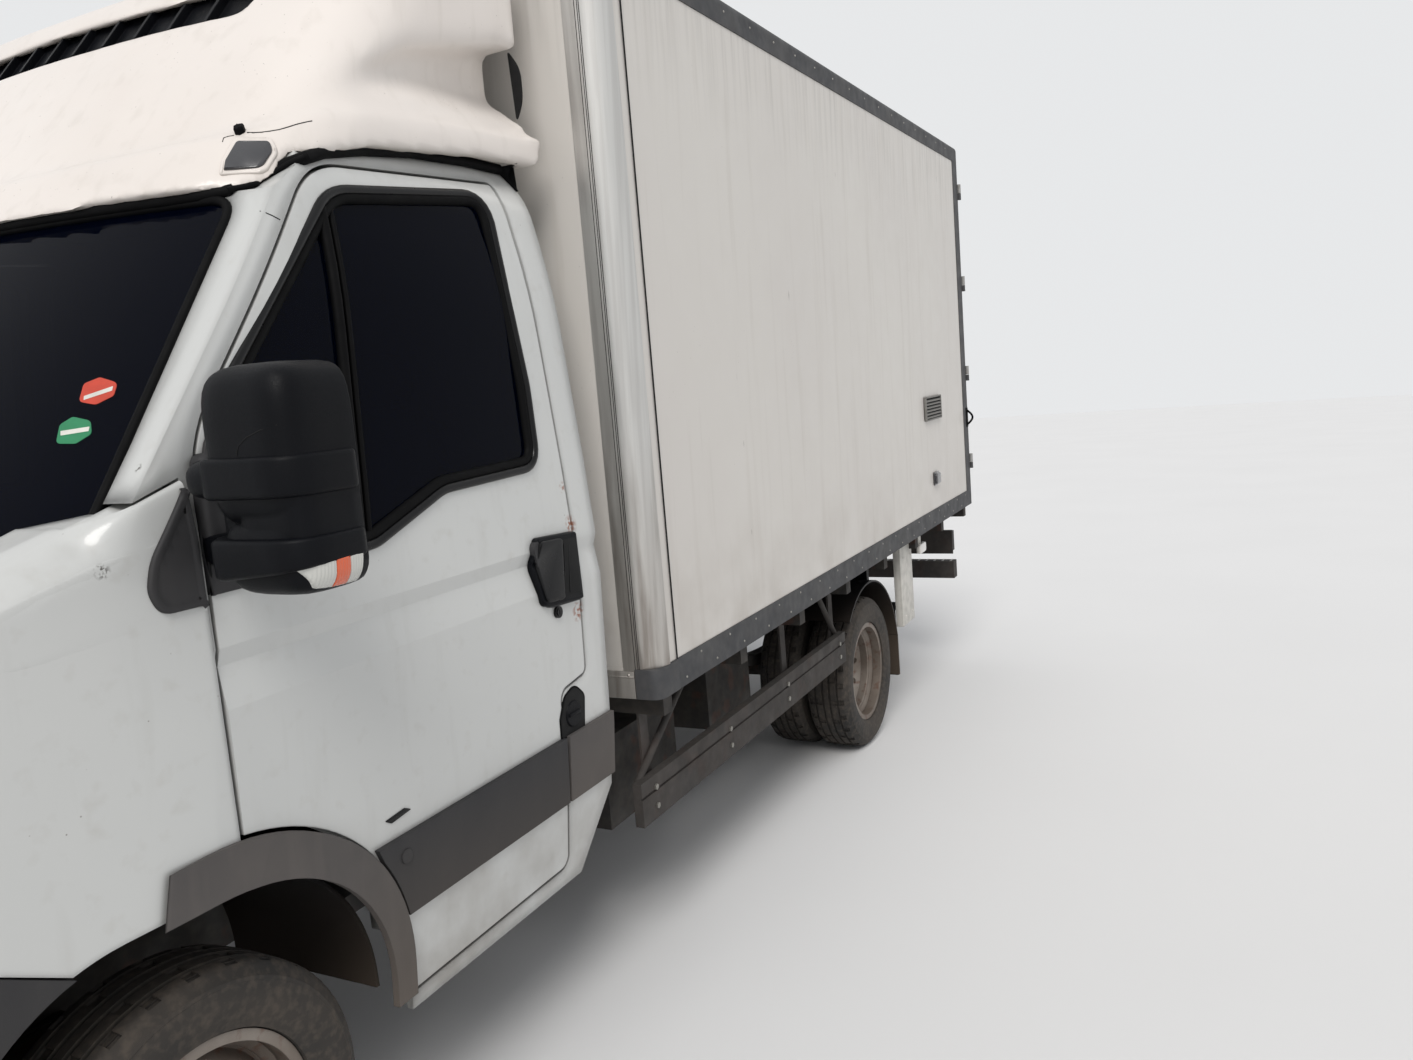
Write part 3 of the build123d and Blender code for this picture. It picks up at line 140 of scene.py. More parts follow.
class Finish:
    """One material: its shader, and the patterns on the object's own coordinates that feed it."""

    def __init__(self, name, colour, rough, metal=0.0, coat=0.0, soften=0.0, alpha=1.0):
        self.material = bpy.data.materials.new(name)
        self.material.use_nodes = True
        self.tree = self.material.node_tree
        self.shader = self.tree.nodes["Principled BSDF"]
        self.shader.inputs["Base Color"].default_value = srgb(*colour)
        self.shader.inputs["Roughness"].default_value = rough
        self.shader.inputs["Metallic"].default_value = metal
        self.shader.inputs["Coat Weight"].default_value = coat
        self.shader.inputs["Alpha"].default_value = alpha
        self.place = self.make("ShaderNodeTexCoord").outputs["Object"]
        self.colour = srgb(*colour)
        self.rough = rough
        self.normal = None
        if soften:
            edge = self.make("ShaderNodeBevel", samples=4)
            edge.inputs["Radius"].default_value = soften
            self.normal = edge.outputs["Normal"]

    def make(self, kind, **settings):
        """A new shader node."""
        node = self.tree.nodes.new(kind)
        for key, value in settings.items():
            setattr(node, key, value)
        return node

    def put(self, socket, value):
        """Link a socket to it, or set it to a number or a colour."""
        if isinstance(value, bpy.types.NodeSocket):
            self.tree.links.new(value, socket)
        else:
            socket.default_value = value

    def span(self, value, low, high):
        """Stretch low..high of a pattern over 0..1; high may be below low."""
        node = self.make("ShaderNodeMapRange", clamp=True)
        self.put(node.inputs["Value"], value)
        node.inputs["From Min"].default_value = low
        node.inputs["From Max"].default_value = high
        return node.outputs["Result"]

    def both(self, first, second):
        """One pattern within another."""
        node = self.make("ShaderNodeMath", operation="MULTIPLY", use_clamp=True)
        self.put(node.inputs[0], first)
        self.put(node.inputs[1], second)
        return node.outputs[0]

    def laid_out(self, stretch, shift):
        """The object's coordinates for one pattern, stretched and then shifted."""
        mapping = self.make("ShaderNodeMapping")
        self.put(mapping.inputs["Vector"], self.place)
        mapping.inputs["Scale"].default_value = stretch
        mapping.inputs["Location"].default_value = shift
        return mapping.outputs["Vector"]

    def noise(self, scale, low=0.4, high=0.6, detail=4.0, stretch=(1, 1, 1), shift=(0, 0, 0)):
        """Clouds: 0 where the noise is below low and 1 above high."""
        pattern = self.make("ShaderNodeTexNoise")
        self.put(pattern.inputs["Vector"], self.laid_out(stretch, shift))
        pattern.inputs["Scale"].default_value = scale
        pattern.inputs["Detail"].default_value = detail
        return self.span(pattern.outputs["Fac"], low, high)

    def spots(self, scale, low, high, shift=(0, 0, 0), stretch=(1, 1, 1)):
        """Specks: 1 at the middle of each cell, 0 from high outwards; stretched ones are dashes."""
        cells = self.make("ShaderNodeTexVoronoi")
        self.put(cells.inputs["Vector"], self.laid_out(stretch, shift))
        cells.inputs["Scale"].default_value = scale
        return self.span(cells.outputs["Distance"], high, low)

    def flutes(self, scale, axis, distortion=0.0):
        """Even waves along one axis."""
        wave = self.make("ShaderNodeTexWave", bands_direction=axis)
        self.put(wave.inputs["Vector"], self.place)
        wave.inputs["Scale"].default_value = scale
        wave.inputs["Distortion"].default_value = distortion
        return wave.outputs["Fac"]

    def height(self):
        """Height above the ground."""
        parts = self.make("ShaderNodeSeparateXYZ")
        self.put(parts.inputs[0], self.place)
        return parts.outputs[2]

    def near(self, spot, reach):
        """A soft blot round a place given in the body's frame."""
        away = self.make("ShaderNodeVectorMath", operation="DISTANCE")
        self.put(away.inputs[0], self.place)
        away.inputs[1].default_value = TILT @ Vector(spot)
        return self.span(away.outputs["Value"], reach, reach * 0.35)

    def crevice_grime_and_shade(self, reach, low=0.75, high=0.35):
        """Where the surface meets something close by, from an occlusion mask: grime there, and the shade that
        falls there, painted in.
        """
        shade = self.make("ShaderNodeAmbientOcclusion", samples=4)
        shade.inputs["Distance"].default_value = reach
        return self.span(shade.outputs["AO"], low, high)

    def tint(self, mask, colour, amount=1.0):
        """Colour the mask's places, by the amount."""
        mix = self.make("ShaderNodeMix", data_type="RGBA")
        self.put(mix.inputs[0], self.both(mask, amount))
        self.put(mix.inputs[6], self.colour)
        mix.inputs[7].default_value = srgb(*colour)
        self.colour = mix.outputs[2]

    def wear(self, mask, rough):
        """Give the mask's places another roughness."""
        mix = self.make("ShaderNodeMix", data_type="FLOAT")
        self.put(mix.inputs[0], mask)
        self.put(mix.inputs[2], self.rough)
        mix.inputs[3].default_value = rough
        self.rough = mix.outputs[0]

    def relief(self, height, strength, distance=0.001):
        """Raise a pattern out of the surface."""
        bump = self.make("ShaderNodeBump")
        bump.inputs["Strength"].default_value = strength
        bump.inputs["Distance"].default_value = distance
        self.put(bump.inputs["Height"], height)
        if self.normal:
            self.put(bump.inputs["Normal"], self.normal)
        self.normal = bump.outputs["Normal"]

    def done(self):
        """Wire up the shader and give the material."""
        if isinstance(self.colour, bpy.types.NodeSocket):
            self.put(self.shader.inputs["Base Color"], self.colour)
        if isinstance(self.rough, bpy.types.NodeSocket):
            self.put(self.shader.inputs["Roughness"], self.rough)
        if self.normal:
            self.put(self.shader.inputs["Normal"], self.normal)
        return self.material


RUST_SPOTS = [((-1.129, 1.0, 1.469), 0.020), ((-1.136, 1.0, 1.374), 0.028), ((-1.127, 1.0, 1.160), 0.030)]
CHIP_PIXELS = [((102, 572), 0.014), ((138, 468), 0.009)]


def cab_paint(name="cab_enamel", soften=0.004):
    """Light grey-white enamel, dusty low down, with faint runs, a few chips and rust at the door's edge."""
    f = Finish(name, (199, 200, 198), 0.28, coat=0.4, soften=soften)
    f.tint(f.noise(1.7, 0.35, 0.7), (188, 190, 189), 0.5)
    f.tint(f.noise(5.0, 0.55, 0.82, stretch=(4.0, 4.0, 0.5)), (158, 155, 148), 0.2)
    f.tint(f.noise(26.0, 0.58, 0.8), (168, 164, 156), 0.25)
    dust = f.both(f.span(f.height(), 0.85, 0.3), f.noise(9.0, 0.25, 0.75))
    f.tint(dust, (118, 108, 96), 0.7)
    # Grime and painted shade in the seams and gaps, where the surface meets something close by
    f.tint(f.crevice_grime_and_shade(0.02), (74, 68, 62), 0.5)
    chips = f.both(f.spots(30.0, 0.02, 0.055), f.noise(4.0, 0.56, 0.62))
    f.tint(chips, (88, 74, 64), 0.7)
    dashes = f.both(f.spots(16.0, 0.02, 0.05, stretch=(1, 1, 0.18)), f.noise(3.0, 0.55, 0.6))
    f.tint(dashes, (122, 116, 108), 0.5)
    for (across, down), reach in CHIP_PIXELS:
        blot = f.near(under_pixel(across, down, "fenders", "cab_sides"), reach)
        f.tint(f.both(blot, f.noise(150.0, 0.48, 0.56)), (70, 66, 60), 0.9)
    for spot, reach in RUST_SPOTS:
        f.tint(f.both(f.near(spot, reach), f.noise(90.0, 0.45, 0.55)), (138, 74, 38), 0.95)
    f.wear(f.noise(14.0, 0.3, 0.8), 0.42)
    f.relief(f.noise(2.2, 0.0, 1.0, detail=1.0), 0.2, 0.003)
    return f.done()


def box_panel():
    """Warm off-white laminate with faint rain streaks, short dark scratches and specks."""
    f = Finish("box_laminate", (210, 206, 200), 0.4, coat=0.15, soften=0.003)
    f.tint(f.noise(1.1, 0.35, 0.7), (203, 198, 193), 0.6)
    f.tint(f.noise(5.0, 0.55, 0.85, stretch=(5.0, 5.0, 0.3)), (176, 168, 158), 0.3)
    runs = f.noise(9.0, 0.45, 0.75, stretch=(5.0, 5.0, 0.3))
    f.tint(f.both(f.span(f.height(), 2.35, 2.85), runs), (150, 146, 140), 0.5)
    low = f.both(f.span(f.height(), 1.25, 0.85), f.noise(6.0, 0.35, 0.8))
    f.tint(low, (150, 140, 128), 0.45)
    # Grime and painted shade along the rails and in the corners, from the occlusion mask
    f.tint(f.crevice_grime_and_shade(0.03), (96, 90, 84), 0.5)
    for scale, shift in ((9.0, 0.0), (17.0, 4.0)):
        dashes = f.spots(scale, 0.012, 0.03, shift=(shift, shift, shift), stretch=(1, 1, 0.14))
        f.tint(f.both(dashes, f.noise(3.0, 0.5, 0.56)), (84, 76, 70), 0.8)
    specks = f.both(f.spots(40.0, 0.02, 0.06), f.noise(3.0, 0.52, 0.6))
    f.tint(specks, (96, 88, 80), 0.7)
    f.wear(f.noise(11.0, 0.3, 0.8), 0.55)
    f.relief(f.noise(1.6, 0.0, 1.0, detail=1.0), 0.3, 0.006)
    return f.done()


def fairing_gelcoat():
    """Off-white gel coat, chalky, with fine dark specks and slanting scratches, and painted shade under its
    edges.
    """
    f = Finish("fairing_gelcoat", (229, 222, 216), 0.36, coat=0.2)
    f.tint(f.noise(2.0, 0.35, 0.7), (219, 211, 204), 0.6)
    f.tint(f.noise(6.0, 0.55, 0.85, stretch=(4.0, 4.0, 0.5)), (176, 168, 156), 0.25)
    # Painted shade under the moulding's lips from a wide occlusion mask, then grime and painted shade in its
    # narrow crevices
    f.tint(f.crevice_grime_and_shade(0.10, 0.8, 0.35), (168, 158, 140), 0.35)
    f.tint(f.crevice_grime_and_shade(0.02), (96, 88, 78), 0.5)
    for scale, shift in ((22.0, 0.0), (34.0, 3.0)):
        dashes = f.spots(scale, 0.015, 0.045, shift=(shift, shift, shift), stretch=(1, 1, 0.25))
        f.tint(f.both(dashes, f.noise(5.0, 0.5, 0.56)), (92, 84, 78), 0.75)
    specks = f.both(f.spots(60.0, 0.02, 0.08), f.noise(6.0, 0.5, 0.6))
    f.tint(specks, (78, 68, 60), 0.8)
    f.wear(f.noise(12.0, 0.3, 0.8), 0.55)
    f.relief(f.noise(60.0, 0.0, 1.0, detail=2.0), 0.08, 0.001)
    return f.done()


def post_aluminium():
    """Bare extrusion, brushed along its length, duller and stained towards its foot."""
    f = Finish("brushed_post", (206, 205, 202), 0.34, metal=0.8, soften=0.002)
    f.tint(f.noise(60.0, 0.4, 0.6, stretch=(1.0, 1.0, 0.02)), (186, 184, 181), 0.6)
    f.tint(f.span(f.height(), 1.5, 0.8), (168, 160, 152), 0.6)
    runs = f.noise(9.0, 0.42, 0.7, stretch=(4.0, 4.0, 0.35))
    f.tint(f.both(f.span(f.height(), 1.7, 0.9), runs), (104, 92, 82), 0.7)
    # Grime and painted shade where the post meets the box and its cap, from the occlusion mask
    f.tint(f.crevice_grime_and_shade(0.012), (70, 66, 62), 0.7)
    f.wear(f.noise(20.0, 0.3, 0.8, stretch=(1.0, 1.0, 0.1)), 0.5)
    f.relief(f.noise(110.0, 0.3, 0.7, stretch=(1.0, 1.0, 0.01)), 0.2, 0.0006)
    return f.done()


def metal_paint(name, colour, rough, dust, amount, metal=0.0, rust=0.0):
    """Painted or bare steel under dust, with rust blooms where there are any."""
    f = Finish(name, colour, rough, metal=metal, soften=0.002)
    f.tint(f.noise(5.0, 0.35, 0.75), dust, amount)
    f.tint(f.noise(40.0, 0.45, 0.7), dust, amount * 0.6)
    # Grime and painted shade in the joints and hollows, from the occlusion mask
    f.tint(f.crevice_grime_and_shade(0.03), (38, 32, 28), 0.6)
    if rust:
        f.tint(f.noise(11.0, 0.56, 0.64, shift=(3, 1, 2)), (98, 52, 28), rust)
    f.wear(f.noise(16.0, 0.3, 0.7), min(rough + 0.25, 0.95))
    f.relief(f.noise(90.0, 0.2, 0.8), 0.2, 0.0008)
    return f.done()


def moulding(name, colour, rough, dust, amount, shine=0.3):
    """Grained plastic, greyed by the sun."""
    f = Finish(name, colour, rough, soften=0.003)
    f.shader.inputs["Specular IOR Level"].default_value = shine
    f.tint(f.noise(4.0, 0.35, 0.75), dust, amount)
    f.tint(f.noise(7.0, 0.5, 0.8, stretch=(3.0, 3.0, 0.5)), dust, amount * 0.8)
    f.tint(f.span(f.height(), 0.75, 0.35), (104, 92, 80), 0.45)
    f.relief(f.spots(900.0, 0.1, 0.5), 0.35, 0.0005)
    f.relief(f.noise(6.0, 0.0, 1.0), 0.15, 0.002)
    return f.done()


def tyre_rubber():
    """Black rubber, browned and dusty."""
    f = Finish("worn_rubber", (36, 35, 34), 0.82)
    f.tint(f.noise(6.0, 0.3, 0.75), (74, 66, 58), 0.6)
    f.tint(f.noise(60.0, 0.45, 0.7), (92, 82, 72), 0.4)
    # Grime and painted shade in the grooves and against the rim, from the occlusion mask
    f.tint(f.crevice_grime_and_shade(0.01), (20, 19, 18), 0.7)
    f.relief(f.noise(240.0, 0.2, 0.8), 0.3, 0.0006)
    return f.done()


def rim_paint():
    """Silver paint under brown brake dust."""
    f = Finish("dusty_rim", (142, 134, 126), 0.5, metal=0.45, soften=0.002)
    f.tint(f.noise(8.0, 0.3, 0.75), (96, 82, 70), 0.8)
    # Brake dust and painted shade in the rim's hollows, from the occlusion mask
    f.tint(f.crevice_grime_and_shade(0.04, 0.9, 0.4), (46, 38, 32), 0.8)
    f.tint(f.noise(30.0, 0.55, 0.7), (92, 52, 32), 0.6)
    f.relief(f.noise(120.0, 0.2, 0.8), 0.25, 0.0008)
    return f.done()


def glass(name, colour, alpha, rough=0.03, shine=0.35):
    """Tinted glass; shine is how much it mirrors."""
    f = Finish(name, colour, rough, alpha=alpha)
    f.shader.inputs["Specular IOR Level"].default_value = shine
    f.wear(f.noise(8.0, 0.5, 0.9), rough + 0.06)
    return f.done()


def cloth():
    """Dark woven seat cloth with a fine check."""
    f = Finish("seat_weave", (52, 54, 60), 0.92)
    f.shader.inputs["Sheen Weight"].default_value = 0.25
    for axis in "XYZ":
        f.relief(f.flutes(160.0, axis, 0.6), 0.3, 0.0006)
    f.tint(f.spots(220.0, 0.1, 0.5), (84, 86, 94), 0.5)
    f.tint(f.noise(4.0, 0.4, 0.8), (40, 40, 44), 0.6)
    return f.done()


def plain(name, colour, rough, metal=0.0, coat=0.0, strength=0.0, shine=0.5):
    """A small fitting's finish, with a little grime in it."""
    f = Finish(name, colour, rough, metal=metal, coat=coat)
    f.shader.inputs["Specular IOR Level"].default_value = shine
    darker = tuple(v * 0.72 for v in colour)
    f.tint(f.noise(22.0, 0.4, 0.75), darker, 0.5)
    f.wear(f.noise(30.0, 0.3, 0.8), min(rough + 0.15, 1.0))
    if strength:
        f.relief(f.noise(180.0, 0.2, 0.8), strength, 0.0005)
    return f.done()


def ribbed_lens(name, colour, axis, alpha=1.0):
    """A moulded lens with fine flutes that follow each other along the axis."""
    f = Finish(name, colour, 0.12, coat=1.0, alpha=alpha)
    f.relief(f.flutes(60.0, axis), 0.5, 0.001)
    return f.done()


LOOKS = {
    "cab_paint": cab_paint(),
    "box_panel": box_panel(),
    "fairing_gelcoat": fairing_gelcoat(),
    "post_aluminium": post_aluminium(),
    "rail_grey": metal_paint("chalky_rail", (56, 57, 60), 0.55, (84, 82, 80), 0.4),
    "load_floor": metal_paint("anti_slip_floor", (96, 96, 94), 0.8, (128, 120, 110), 0.5),
    # Glass tinted almost black and nearly opaque: a real tint, and painted shade of the unlit cab behind it
    "cab_glass": glass("tinted_glass_and_painted_cab_shade", (1, 3, 14), 0.86, shine=0.05),
    "dark_moulding": moulding("dark_grained_plastic", (46, 46, 48), 0.6, (64, 62, 61), 0.4),
    "faded_trim": moulding("sun_faded_plastic", (80, 77, 76), 0.72, (104, 98, 94), 0.5),
    "black_moulding": moulding("black_grained_plastic", (8, 9, 13), 0.42, (17, 19, 24), 0.35, shine=0.12),
    "lamp_lens": glass("clear_lens", (222, 226, 230), 0.16, 0.04, 0.9),
    "red_lens": ribbed_lens("red_tail_lens", (150, 18, 16), "Y"),
    "floor_paint": metal_paint("cab_floor_covering", (52, 52, 54), 0.8, (74, 70, 66), 0.5),
    "seat_cloth": cloth(),
    "chassis_paint": metal_paint("dusty_chassis", (36, 35, 34), 0.65, (74, 67, 60), 0.45, rust=0.25),
    "guard_paint": metal_paint("weathered_guard", (50, 47, 45), 0.7, (74, 68, 64), 0.5, rust=0.05),
    "engine_iron": metal_paint("rough_iron", (92, 88, 84), 0.65, (70, 60, 52), 0.7, metal=0.4, rust=0.4),
    "exhaust_steel": metal_paint("stained_exhaust", (112, 100, 90), 0.55, (82, 64, 50), 0.7, metal=0.6,
                                 rust=0.6),
    "lock_gear": metal_paint("galvanised_gear", (168, 168, 166), 0.45, (120, 114, 106), 0.5, metal=0.7,
                             rust=0.15),
    "cooler_casing": metal_paint("cooler_casing", (198, 197, 192), 0.55, (150, 142, 132), 0.5),
    "tyre_rubber": tyre_rubber(),
    "rim_paint": rim_paint(),
}
WING_PAINT = cab_paint("wing_enamel", 0.016)
PILLAR_PAINT = cab_paint("pillar_enamel", 0.05)
RUBBER = plain("black_seal", (7, 7, 8), 0.6, strength=0.2, shine=0.1)
GLOSS_BLACK = plain("gloss_black", (6, 6, 8), 0.25, coat=0.05, shine=0.25)
MIRROR_GLASS = plain("mirror_glass", (196, 204, 208), 0.03, metal=1.0)
CHROME = plain("bright_metal", (200, 200, 200), 0.16, metal=1.0)
ZINC = plain("zinc_screw", (150, 148, 142), 0.4, metal=0.8)
WHITE_PLASTIC = plain("white_plastic", (206, 203, 196), 0.5)
GREY_PLASTIC = plain("grey_plastic", (122, 120, 116), 0.55)
SMOKED_LENS = plain("smoked_lens", (46, 46, 50), 0.2, coat=0.8)
AMBER = ribbed_lens("amber_lens", (214, 84, 26), "X")
CLEAR = ribbed_lens("clear_fluted_lens", (206, 206, 200), "X", 0.9)
RED_LENS = ribbed_lens("red_lens", (168, 20, 16), "Y")
AMBER_REAR = ribbed_lens("amber_rear_lens", (206, 96, 20), "Y")
WHITE_LENS = ribbed_lens("reverse_lens", (220, 216, 210), "Y")
PLATE = plain("blank_plate", (222, 220, 212), 0.45)
# Near-black for hairline joints and seams, and for plates that paint the shade in gaps, hollows and openings
SEAM_BLACK_AND_PAINTED_SHADE = plain("seam_and_shade_black", (6, 6, 7), 0.9)
RED_LABEL = plain("red_label", (200, 66, 44), 0.5)
GREEN_LABEL = plain("green_label", (34, 128, 84), 0.5)

NODE_LOOKS = {"cab_sides": PILLAR_PAINT, "fenders": WING_PAINT, "tail_lamps": LOOKS["black_moulding"]}
for subpart in frame["record"]["subparts"]:
    shown = nodes[subpart["node"]].data
    shown.materials.clear()
    shown.materials.append(NODE_LOOKS.get(subpart["node"], LOOKS[subpart["material_slot"]]))


# Making and landing pieces
def beside(x, z, *names, proud=0.0):
    """The point of the left-hand side at x and z, standing proud of the surface."""
    return land((x, 2.0, z), (0, -1, 0), *names)[0] + Vector((0, proud, 0))


def finish(name, bm, look, slot, body="truck", stands_for=(), tilted=True, angle=35, mirrored=False):
    """Turn a bmesh into a piece that rides on a body; mirrored gives the right-hand twin."""
    if mirrored:
        bmesh.ops.scale(bm, vec=(1, -1, 1), verts=bm.verts)
    if tilted:
        bm.transform(TILT)
    bmesh.ops.remove_doubles(bm, verts=bm.verts, dist=1e-5)
    bmesh.ops.recalc_face_normals(bm, faces=bm.faces)
    mesh = bpy.data.meshes.new(name)
    bm.to_mesh(mesh)
    bm.free()
    mesh.materials.append(look)
    mesh.polygons.foreach_set("use_smooth", [True] * len(mesh.polygons))
    mesh.set_sharp_from_angle(angle=radians(angle))
    made = bpy.data.objects.new(name, mesh)
    bpy.context.scene.collection.objects.link(made)
    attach(made, body)
    if stands_for:
        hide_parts(*stands_for)
    return made


def pair(name, make, look, slot, body="truck", stands_for=(), tilted=True, angle=35):
    """A left-hand piece and its right-hand twin, on the left and right bodies where there are two."""
    for side in ("left", "right"):
        rides_on = f"{body}_{side}" if f"{body}_{side}" in frame["bodies"] else body
        hidden = [f"{node}_{side}" if f"{node}_{side}" in nodes else node for node in stands_for]
        finish(f"{name}_{side}", make(), look, slot, rides_on, hidden, tilted, angle, side == "right")


def round_off(bm, edges, soft, steps):
    """Round edges over."""
    bmesh.ops.bevel(bm, geom=list(edges), offset=soft, segments=steps, profile=0.5, affect="EDGES",
                    material=-1)


def slab(low, high, soft=0.0, steps=2, bm=None):
    """A block between two corners with its edges rounded."""
    bm = bm or bmesh.new()
    made = bmesh.ops.create_cube(bm, size=1)["verts"]
    low, high = Vector(low), Vector(high)
    bmesh.ops.scale(bm, vec=high - low, verts=made)
    bmesh.ops.translate(bm, vec=(low + high) / 2, verts=made)
    if soft:
        round_off(bm, {edge for vert in made for edge in vert.link_edges}, soft, steps)
    return bm


def rod(start, end, radius, sides=16, bm=None, tip=None):
    """A round bar between two points; tip is a second radius at its end."""
    bm = bm or bmesh.new()
    start, end = Vector(start), Vector(end)
    turn = (end - start).to_track_quat("Z", "Y").to_matrix().to_4x4()
    place = Matrix.Translation((start + end) / 2) @ turn
    bmesh.ops.create_cone(bm, cap_ends=True, segments=sides, radius1=radius,
                          radius2=radius if tip is None else tip, depth=(end - start).length, matrix=place)
    return bm


def spun(profile, steps, centre=(0, 0, 0), axis=(0, 1, 0), bm=None):
    """Turn a profile of points once about an axis."""
    bm = bm or bmesh.new()
    verts = [bm.verts.new(point) for point in profile]
    edges = [bm.edges.new(ends) for ends in zip(verts, verts[1:])]
    bmesh.ops.spin(bm, geom=verts + edges, cent=centre, axis=axis, angle=2 * pi, steps=steps, use_merge=True)
    return bm


def filleted(points, steps=6):
    """Points of a closed outline whose corners (u, v, radius) are rounded."""
    found = []
    count = len(points)
    for index, (u, v, radius) in enumerate(points):
        here = Vector((u, v))
        back = Vector(points[index - 1][:2]) - here
        ahead = Vector(points[(index + 1) % count][:2]) - here
        half = back.angle(ahead) / 2
        reach = min(radius / max(1e-6, sin(half) / cos(half)), back.length * 0.48, ahead.length * 0.48)
        if reach < 1e-4:
            found.append(here)
            continue
        first, last = here + back.normalized() * reach, here + ahead.normalized() * reach
        for step in range(steps + 1):
            t = step / steps
            found.append((1 - t) ** 2 * first + 2 * t * (1 - t) * here + t ** 2 * last)
    return found


def raised(bm, verts, offset, soft, steps):
    """A plate from a face through the vertices to the same face moved by offset, rounded round its top."""
    made = bmesh.ops.extrude_face_region(bm, geom=[bm.faces.new(verts)])["geom"]
    top = [item for item in made if isinstance(item, bmesh.types.BMVert)]
    bmesh.ops.translate(bm, vec=offset, verts=top)
    if soft:
        rim = {edge for edge in bm.edges if edge.verts[0] in top and edge.verts[1] in top}
        round_off(bm, rim, soft, steps)
    return bm


def plate(points, thick, to_space, soft=0.0, steps=2, bm=None):
    """A flat plate from 2-D points; to_space turns (u, v, depth) into a place."""
    bm = bm or bmesh.new()
    verts = [bm.verts.new(to_space(u, v, 0)) for u, v in points]
    return raised(bm, verts, to_space(0, 0, thick) - to_space(0, 0, 0), soft, steps)


def strand(points, radius, closed=False, sides=4):
    """A rubber bead or rod that follows points."""
    data = bpy.data.curves.new("strand", "CURVE")
    data.dimensions = "3D"
    data.bevel_depth = radius
    data.bevel_resolution = sides
    data.use_fill_caps = True
    line = data.splines.new("POLY")
    line.points.add(len(points) - 1)
    for spot, point in zip(line.points, points):
        spot.co = (*point, 1)
    line.use_cyclic_u = closed
    holder = bpy.data.objects.new("strand", data)
    mesh = bpy.data.meshes.new_from_object(holder)
    bm = bmesh.new()
    bm.from_mesh(mesh)
    bpy.data.objects.remove(holder)
    bpy.data.curves.remove(data)
    bpy.data.meshes.remove(mesh)
    return bm


def gathered(*parts):
    """Several bmeshes as one."""
    bm = bmesh.new()
    for part in parts:
        mesh = bpy.data.meshes.new("part")
        part.to_mesh(mesh)
        part.free()
        bm.from_mesh(mesh)
        bpy.data.meshes.remove(mesh)
    return bm


def pillow(low, high, hard=5.0, cuts=7):
    """A block between two corners, swollen like a moulding; hard is how square it stays."""
    bm = bmesh.new()
    bmesh.ops.create_cube(bm, size=2)
    bmesh.ops.subdivide_edges(bm, edges=bm.edges[:], cuts=cuts, use_grid_fill=True)
    low, high = Vector(low), Vector(high)
    for vert in bm.verts:
        far = sum(abs(value) ** hard for value in vert.co) ** (1 / hard)
        vert.co = vert.co / far
    bmesh.ops.scale(bm, vec=(high - low) / 2, verts=bm.verts)
    bmesh.ops.translate(bm, vec=(low + high) / 2, verts=bm.verts)
    return bm


# Pieces for the side are made flat on a plane at ASIDE, and a vertex that is laid on a surface starts
# LAY_START short of its plane and falls at most LAY_DEEPEST past it
ASIDE = 1.2
LAY_START, LAY_DEEPEST = 0.4, 0.45


def lay(bm, base, towards, *names):
    """Press a piece made on a plane through base onto a surface, along towards; its own depth is kept."""
    base, towards = Vector(base), Vector(towards).normalized()
    sinks = {}
    for vert in bm.verts:
        depth = -(vert.co - base).dot(towards)
        hit = land(vert.co + towards * (depth - LAY_START), towards, *names)
        sink = (hit[0] - base).dot(towards) if hit else LAY_DEEPEST
        sinks[vert] = (depth, sink if sink < LAY_DEEPEST else None)
    good = [sink for _, sink in sinks.values() if sink is not None]
    for vert, (depth, sink) in sinks.items():
        sink = sum(good) / len(good) if sink is None else sink
        vert.co += towards * (sink - (vert.co - base).dot(towards) - depth)
    return bm


def sliced(bm, axis, low, high, count):
    """Cut a piece into strips, so that it can bend when it is laid on a surface."""
    for step in range(count + 1):
        spot = Vector(axis) * (low + (high - low) * step / count)
        everything = bm.verts[:] + bm.edges[:] + bm.faces[:]
        bmesh.ops.bisect_plane(bm, geom=everything, plane_co=spot, plane_no=axis)
    return bm


def beside_plate(points, thick, *names, soft=0.0, steps=2):
    """A plate laid on the left-hand side from its outline (x, z, corner radius)."""
    bm = plate(filleted(points), thick, lambda u, v, d: Vector((u, ASIDE + d, v)), soft, steps)
    return lay(bm, (0, ASIDE, 0), (0, -1, 0), *names)


def ring(centre, axis, radius, tube, steps=48, sides=10, bm=None):
    """A round hoop."""
    bm = bm or bmesh.new()
    axis = Vector(axis).normalized()
    out = axis.orthogonal().normalized()
    turn = Matrix((out, axis, out.cross(axis))).transposed().to_4x4()
    place = Matrix.Translation(Vector(centre) + out * radius) @ turn
    made = bmesh.ops.create_circle(bm, segments=sides, radius=tube, matrix=place)["verts"]
    edges = list({edge for vert in made for edge in vert.link_edges})
    bmesh.ops.spin(bm, geom=made + edges, cent=centre, axis=axis, angle=2 * pi, steps=steps, use_merge=True)
    return bm


def ease(bm, verts):
    """Smooth the surface once at the vertices."""
    bmesh.ops.smooth_vert(bm, verts=verts, factor=0.5, use_axis_x=True, use_axis_y=True, use_axis_z=True)


